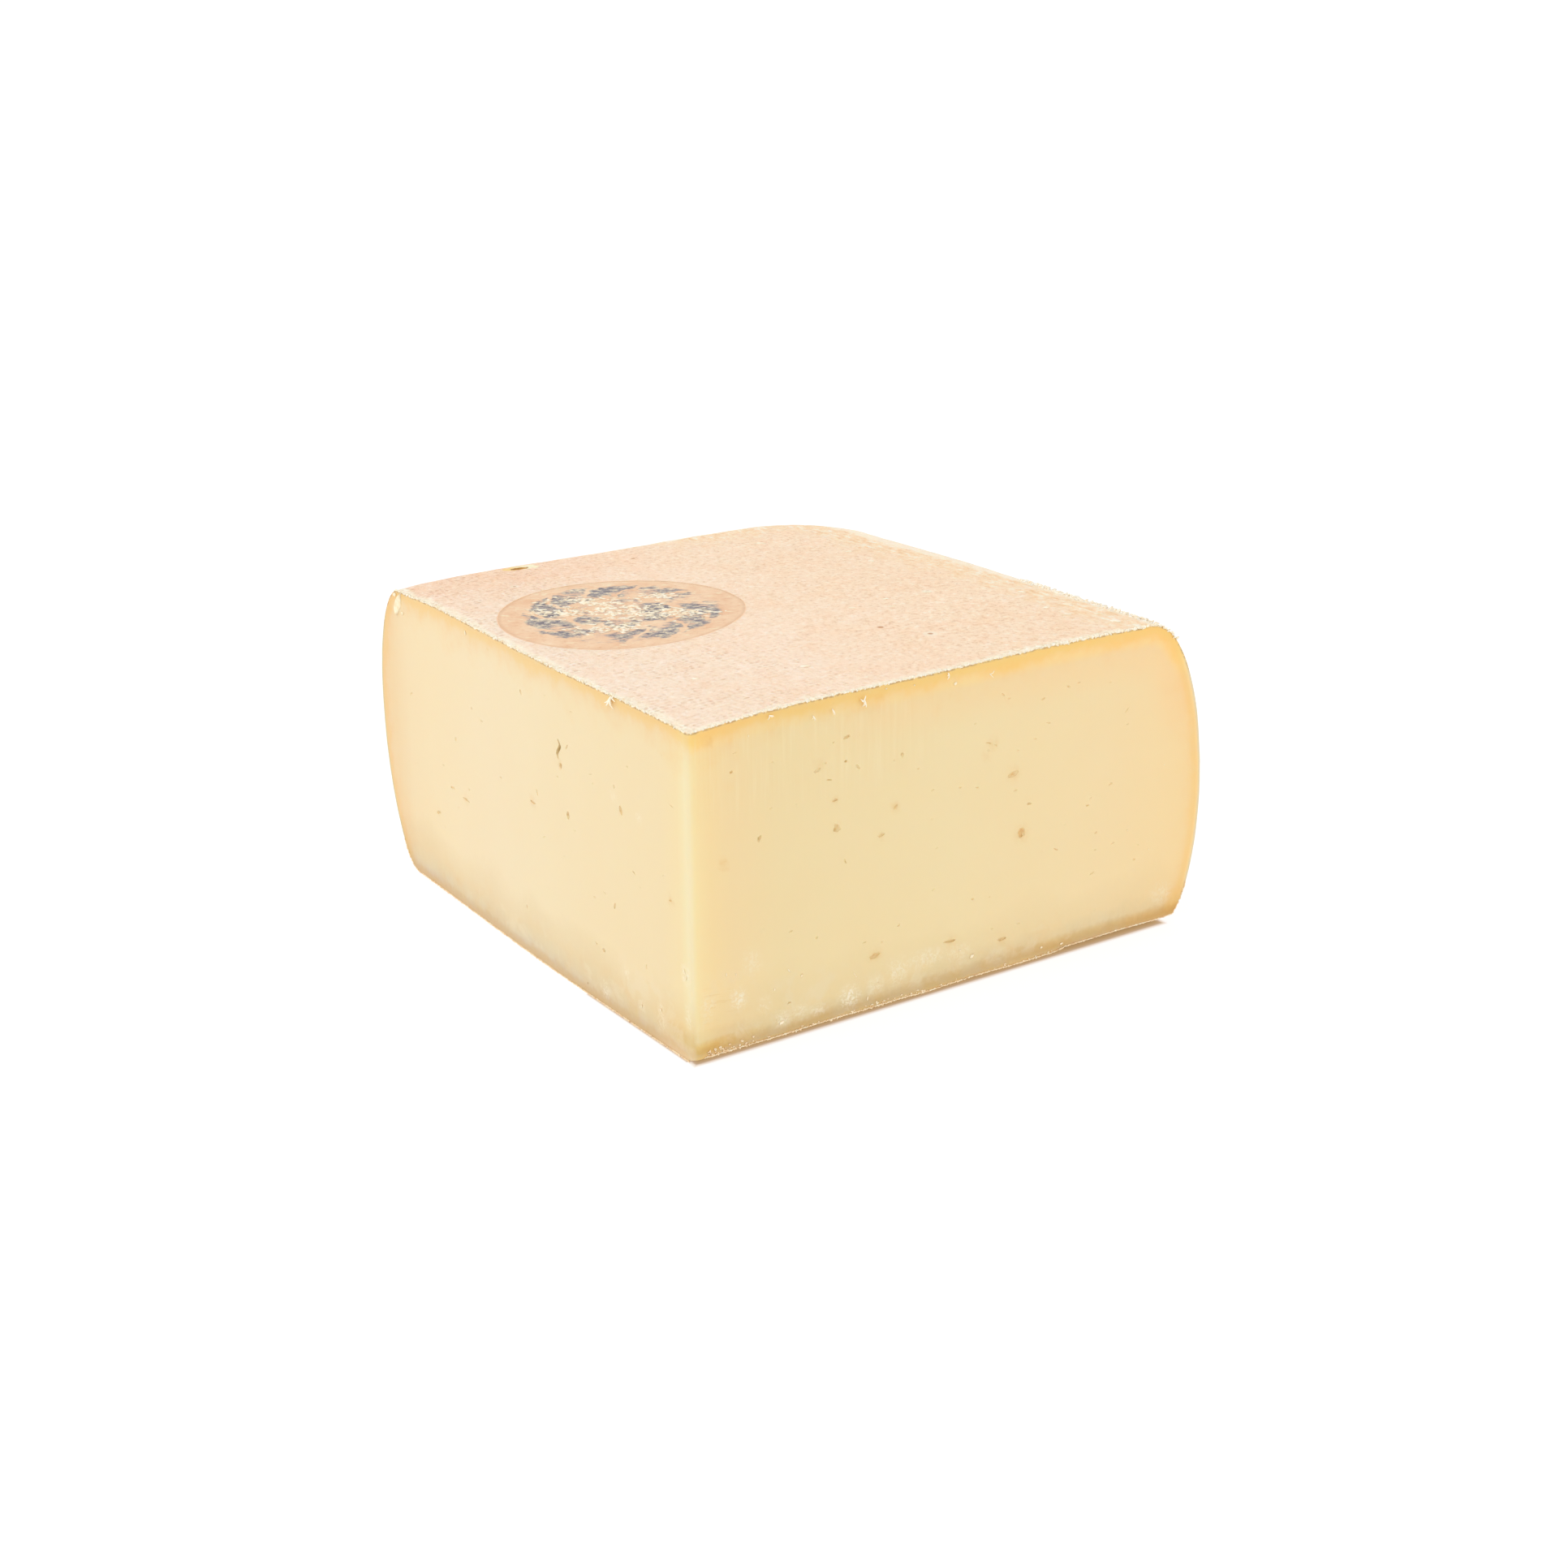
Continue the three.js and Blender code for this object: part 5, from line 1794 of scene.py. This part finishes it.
def tuft_mesh():
    rng = random.Random(TUFT_SEED)
    blocks = []
    for on_left, across, height, count, reach, heading, fan, width in TUFTS:
        for _ in range(count):
            turn = math.radians(heading + rng.uniform(-fan, fan))
            length = reach * rng.uniform(0.5, 1.0)
            curl = rng.uniform(-0.6, 0.6)
            points, faces = [], []
            for ring in range(TUFT_RINGS):
                t = ring / (TUFT_RINGS - 1)
                bearing = turn + curl * t
                u = across + length * t * math.cos(bearing)
                v = height + length * t * math.sin(bearing)
                lift = 0.12 + 0.45 * math.sin(2.4 * t)
                thick = width * (1.15 - 0.75 * t)
                for corner in range(TUFT_SIDES):
                    a = 2 * math.pi * corner / TUFT_SIDES
                    side, out = thick * math.cos(a), thick * math.sin(a)
                    su, sv = u - side * math.sin(bearing), v + side * math.cos(bearing)
                    points.append((-lift - out, su, sv) if on_left else (su, -lift - out, sv))
            for start in range(0, len(points) - TUFT_SIDES, TUFT_SIDES):
                for corner in range(TUFT_SIDES):
                    a, b = start + corner, start + (corner + 1) % TUFT_SIDES
                    faces.append((a, b, b + TUFT_SIDES, a + TUFT_SIDES))
            ends = tuple(range(TUFT_SIDES))[::-1], tuple(range(len(points) - TUFT_SIDES, len(points)))
            blocks.append((points, [*faces, *ends]))
    return joined_mesh("tufts", blocks)


tuft_shape = tuft_mesh()
tuft_shape.materials.append(dry_rind.material)
tuft_shape.shade_smooth()
place_piece("tufts", tuft_shape)


# ---- Dry flakes ----
# Loose scales of the dry rind that lie on the top, most of them near the far right shoulder, and
# scales of paste that stuck to the cut faces. Each is one lumpy flat scale.
FLAKES = (
    # where ("left", "right" or "top"), along, up or across, length, width, turn
    ("left", 3.6, 20.8, 1.3, 0.35, 70),
    ("left", 2.9, 19.4, 1.1, 0.3, 110),
    ("left", 13.6, 8.2, 0.7, 0.5, 60),
    ("left", 21.9, 6.0, 0.9, 0.4, 80),
    ("left", 138.3, 75.6, 2.0, 1.0, -12),
    ("left", 134.4, 71.6, 1.2, 0.7, 20),
    ("left", 99.3, 74.0, 1.3, 0.6, 80),
    ("right", 75.2, 6.6, 1.3, 0.8, 30),
    ("right", 71.6, 8.9, 0.6, 0.4, -30),
    ("right", 24.2, 16.1, 1.2, 0.3, -55),
    ("right", 27.6, 14.0, 0.6, 0.5, 0),
    ("right", 20.4, 12.5, 0.7, 0.35, 70),
    ("right", 8.2, 19.2, 0.9, 0.3, 85),
    ("right", 10.6, 18.6, 0.4, 0.3, 80),
    ("right", 22.2, 4.3, 1.3, 0.7, 20),
    ("right", 23.4, 4.9, 0.5, 0.4, 60),
    ("right", 21.2, 5.2, 0.4, 0.3, 0),
    ("right", 45.4, 3.9, 1.0, 0.4, 80),
    ("right", 41.9, 10.5, 1.7, 0.25, -55),
    ("right", 48.1, 2.0, 0.9, 0.5, 20),
    ("right", 46.6, 2.1, 0.5, 0.3, 0),
    ("right", 50.0, 2.1, 0.6, 0.4, -20),
    ("right", 50.1, 74.9, 0.6, 0.4, 0),
    ("right", 57.7, 74.4, 0.5, 0.4, 0),
    ("right", 69.0, 72.8, 1.0, 0.7, 40),
    ("right", 133.4, 41.6, 0.4, 0.3, 0),
    ("right", 129.5, 20.9, 0.4, 0.3, 0),
    ("right", 122.3, 27.3, 0.4, 0.3, 0),
    ("right", 96.2, 3.6, 0.7, 0.5, 0),
    ("right", 102.5, 3.0, 0.9, 0.5, 10),
    ("right", 14.7, 70.9, 0.5, 0.3, 80),
    ("top", 43.5, 20.9, 2.4, 1.1, -38),
    ("top", 20.2, 28.9, 1.8, 0.8, -36),
    ("top", 91.5, 55.2, 1.6, 0.9, -20),
    ("top", 101.0, 124.1, 3.0, 1.0, -34),
    ("top", 103.4, 54.0, 2.0, 0.8, -40),
    ("top", 88.4, 48.7, 1.8, 0.5, -30),
    ("top", 112.7, 89.8, 1.8, 0.8, -40),
    ("top", 114.9, 102.5, 1.6, 0.9, -20),
    ("top", 121.9, 40.2, 2.0, 0.9, -60),
    ("top", 117.1, 25.4, 1.7, 1.1, -10),
    ("top", 123.2, 25.0, 2.6, 0.8, -70),
    ("top", 117.2, 18.2, 2.6, 0.7, -15),
    ("top", 123.8, 14.5, 2.4, 0.6, -40),
    ("top", 122.5, 7.4, 2.6, 1.2, -50),
    ("top", 79.9, 53.2, 1.8, 0.5, -35),
)
FLAKE_THICK = 0.36
FLAKE_LUMPS = 0.45
FLAKE_RISE, FLAKE_OUT = 0.04, 0.02  # of its middle, over the rind and out of a cut face


def flake_mesh(name, on_top):
    blocks = []
    for number, (where, across, up, length, width, turn) in enumerate(FLAKES):
        if (where == "top") != on_top:
            continue
        shape = bmesh.new()
        bmesh.ops.create_icosphere(shape, subdivisions=2, radius=0.5)
        bearing = math.radians(turn)
        points = []
        for corner in shape.verts:
            lump = noise.noise(corner.co * 3.1 + Vector((number * 5.3, 0, 0)))
            p = corner.co * (1 + FLAKE_LUMPS * lump)
            u = across + p.x * length * math.cos(bearing) - p.y * width * math.sin(bearing)
            v = up + p.x * length * math.sin(bearing) + p.y * width * math.cos(bearing)
            w = p.z * FLAKE_THICK * min(1.0, width)
            if where == "top":
                points.append((u, v, skin_height(u, v) + FLAKE_RISE + w))
            else:
                w = -FLAKE_OUT - w
                points.append((w, u, v) if where == "left" else (u, w, v))
        blocks.append((points, [tuple(corner.index for corner in face.verts) for face in shape.faces]))
        shape.free()
    return joined_mesh(name, blocks)


dry_flakes = flake_mesh("dry_flakes", on_top=True)
dry_flakes.materials.append(dry_rind.material)
dry_flakes.shade_smooth()
place_piece("dry_flakes", dry_flakes)


# ---- Paste flakes ----
# The scales on the cut faces are of the same paste as the torn flap, most of them low on the
# right face where the cheese was handled.
paste_flakes = flake_mesh("paste_flakes", on_top=False)
paste_flakes.materials.append(torn_paste.material)
paste_flakes.shade_smooth()
place_piece("paste_flakes", paste_flakes)
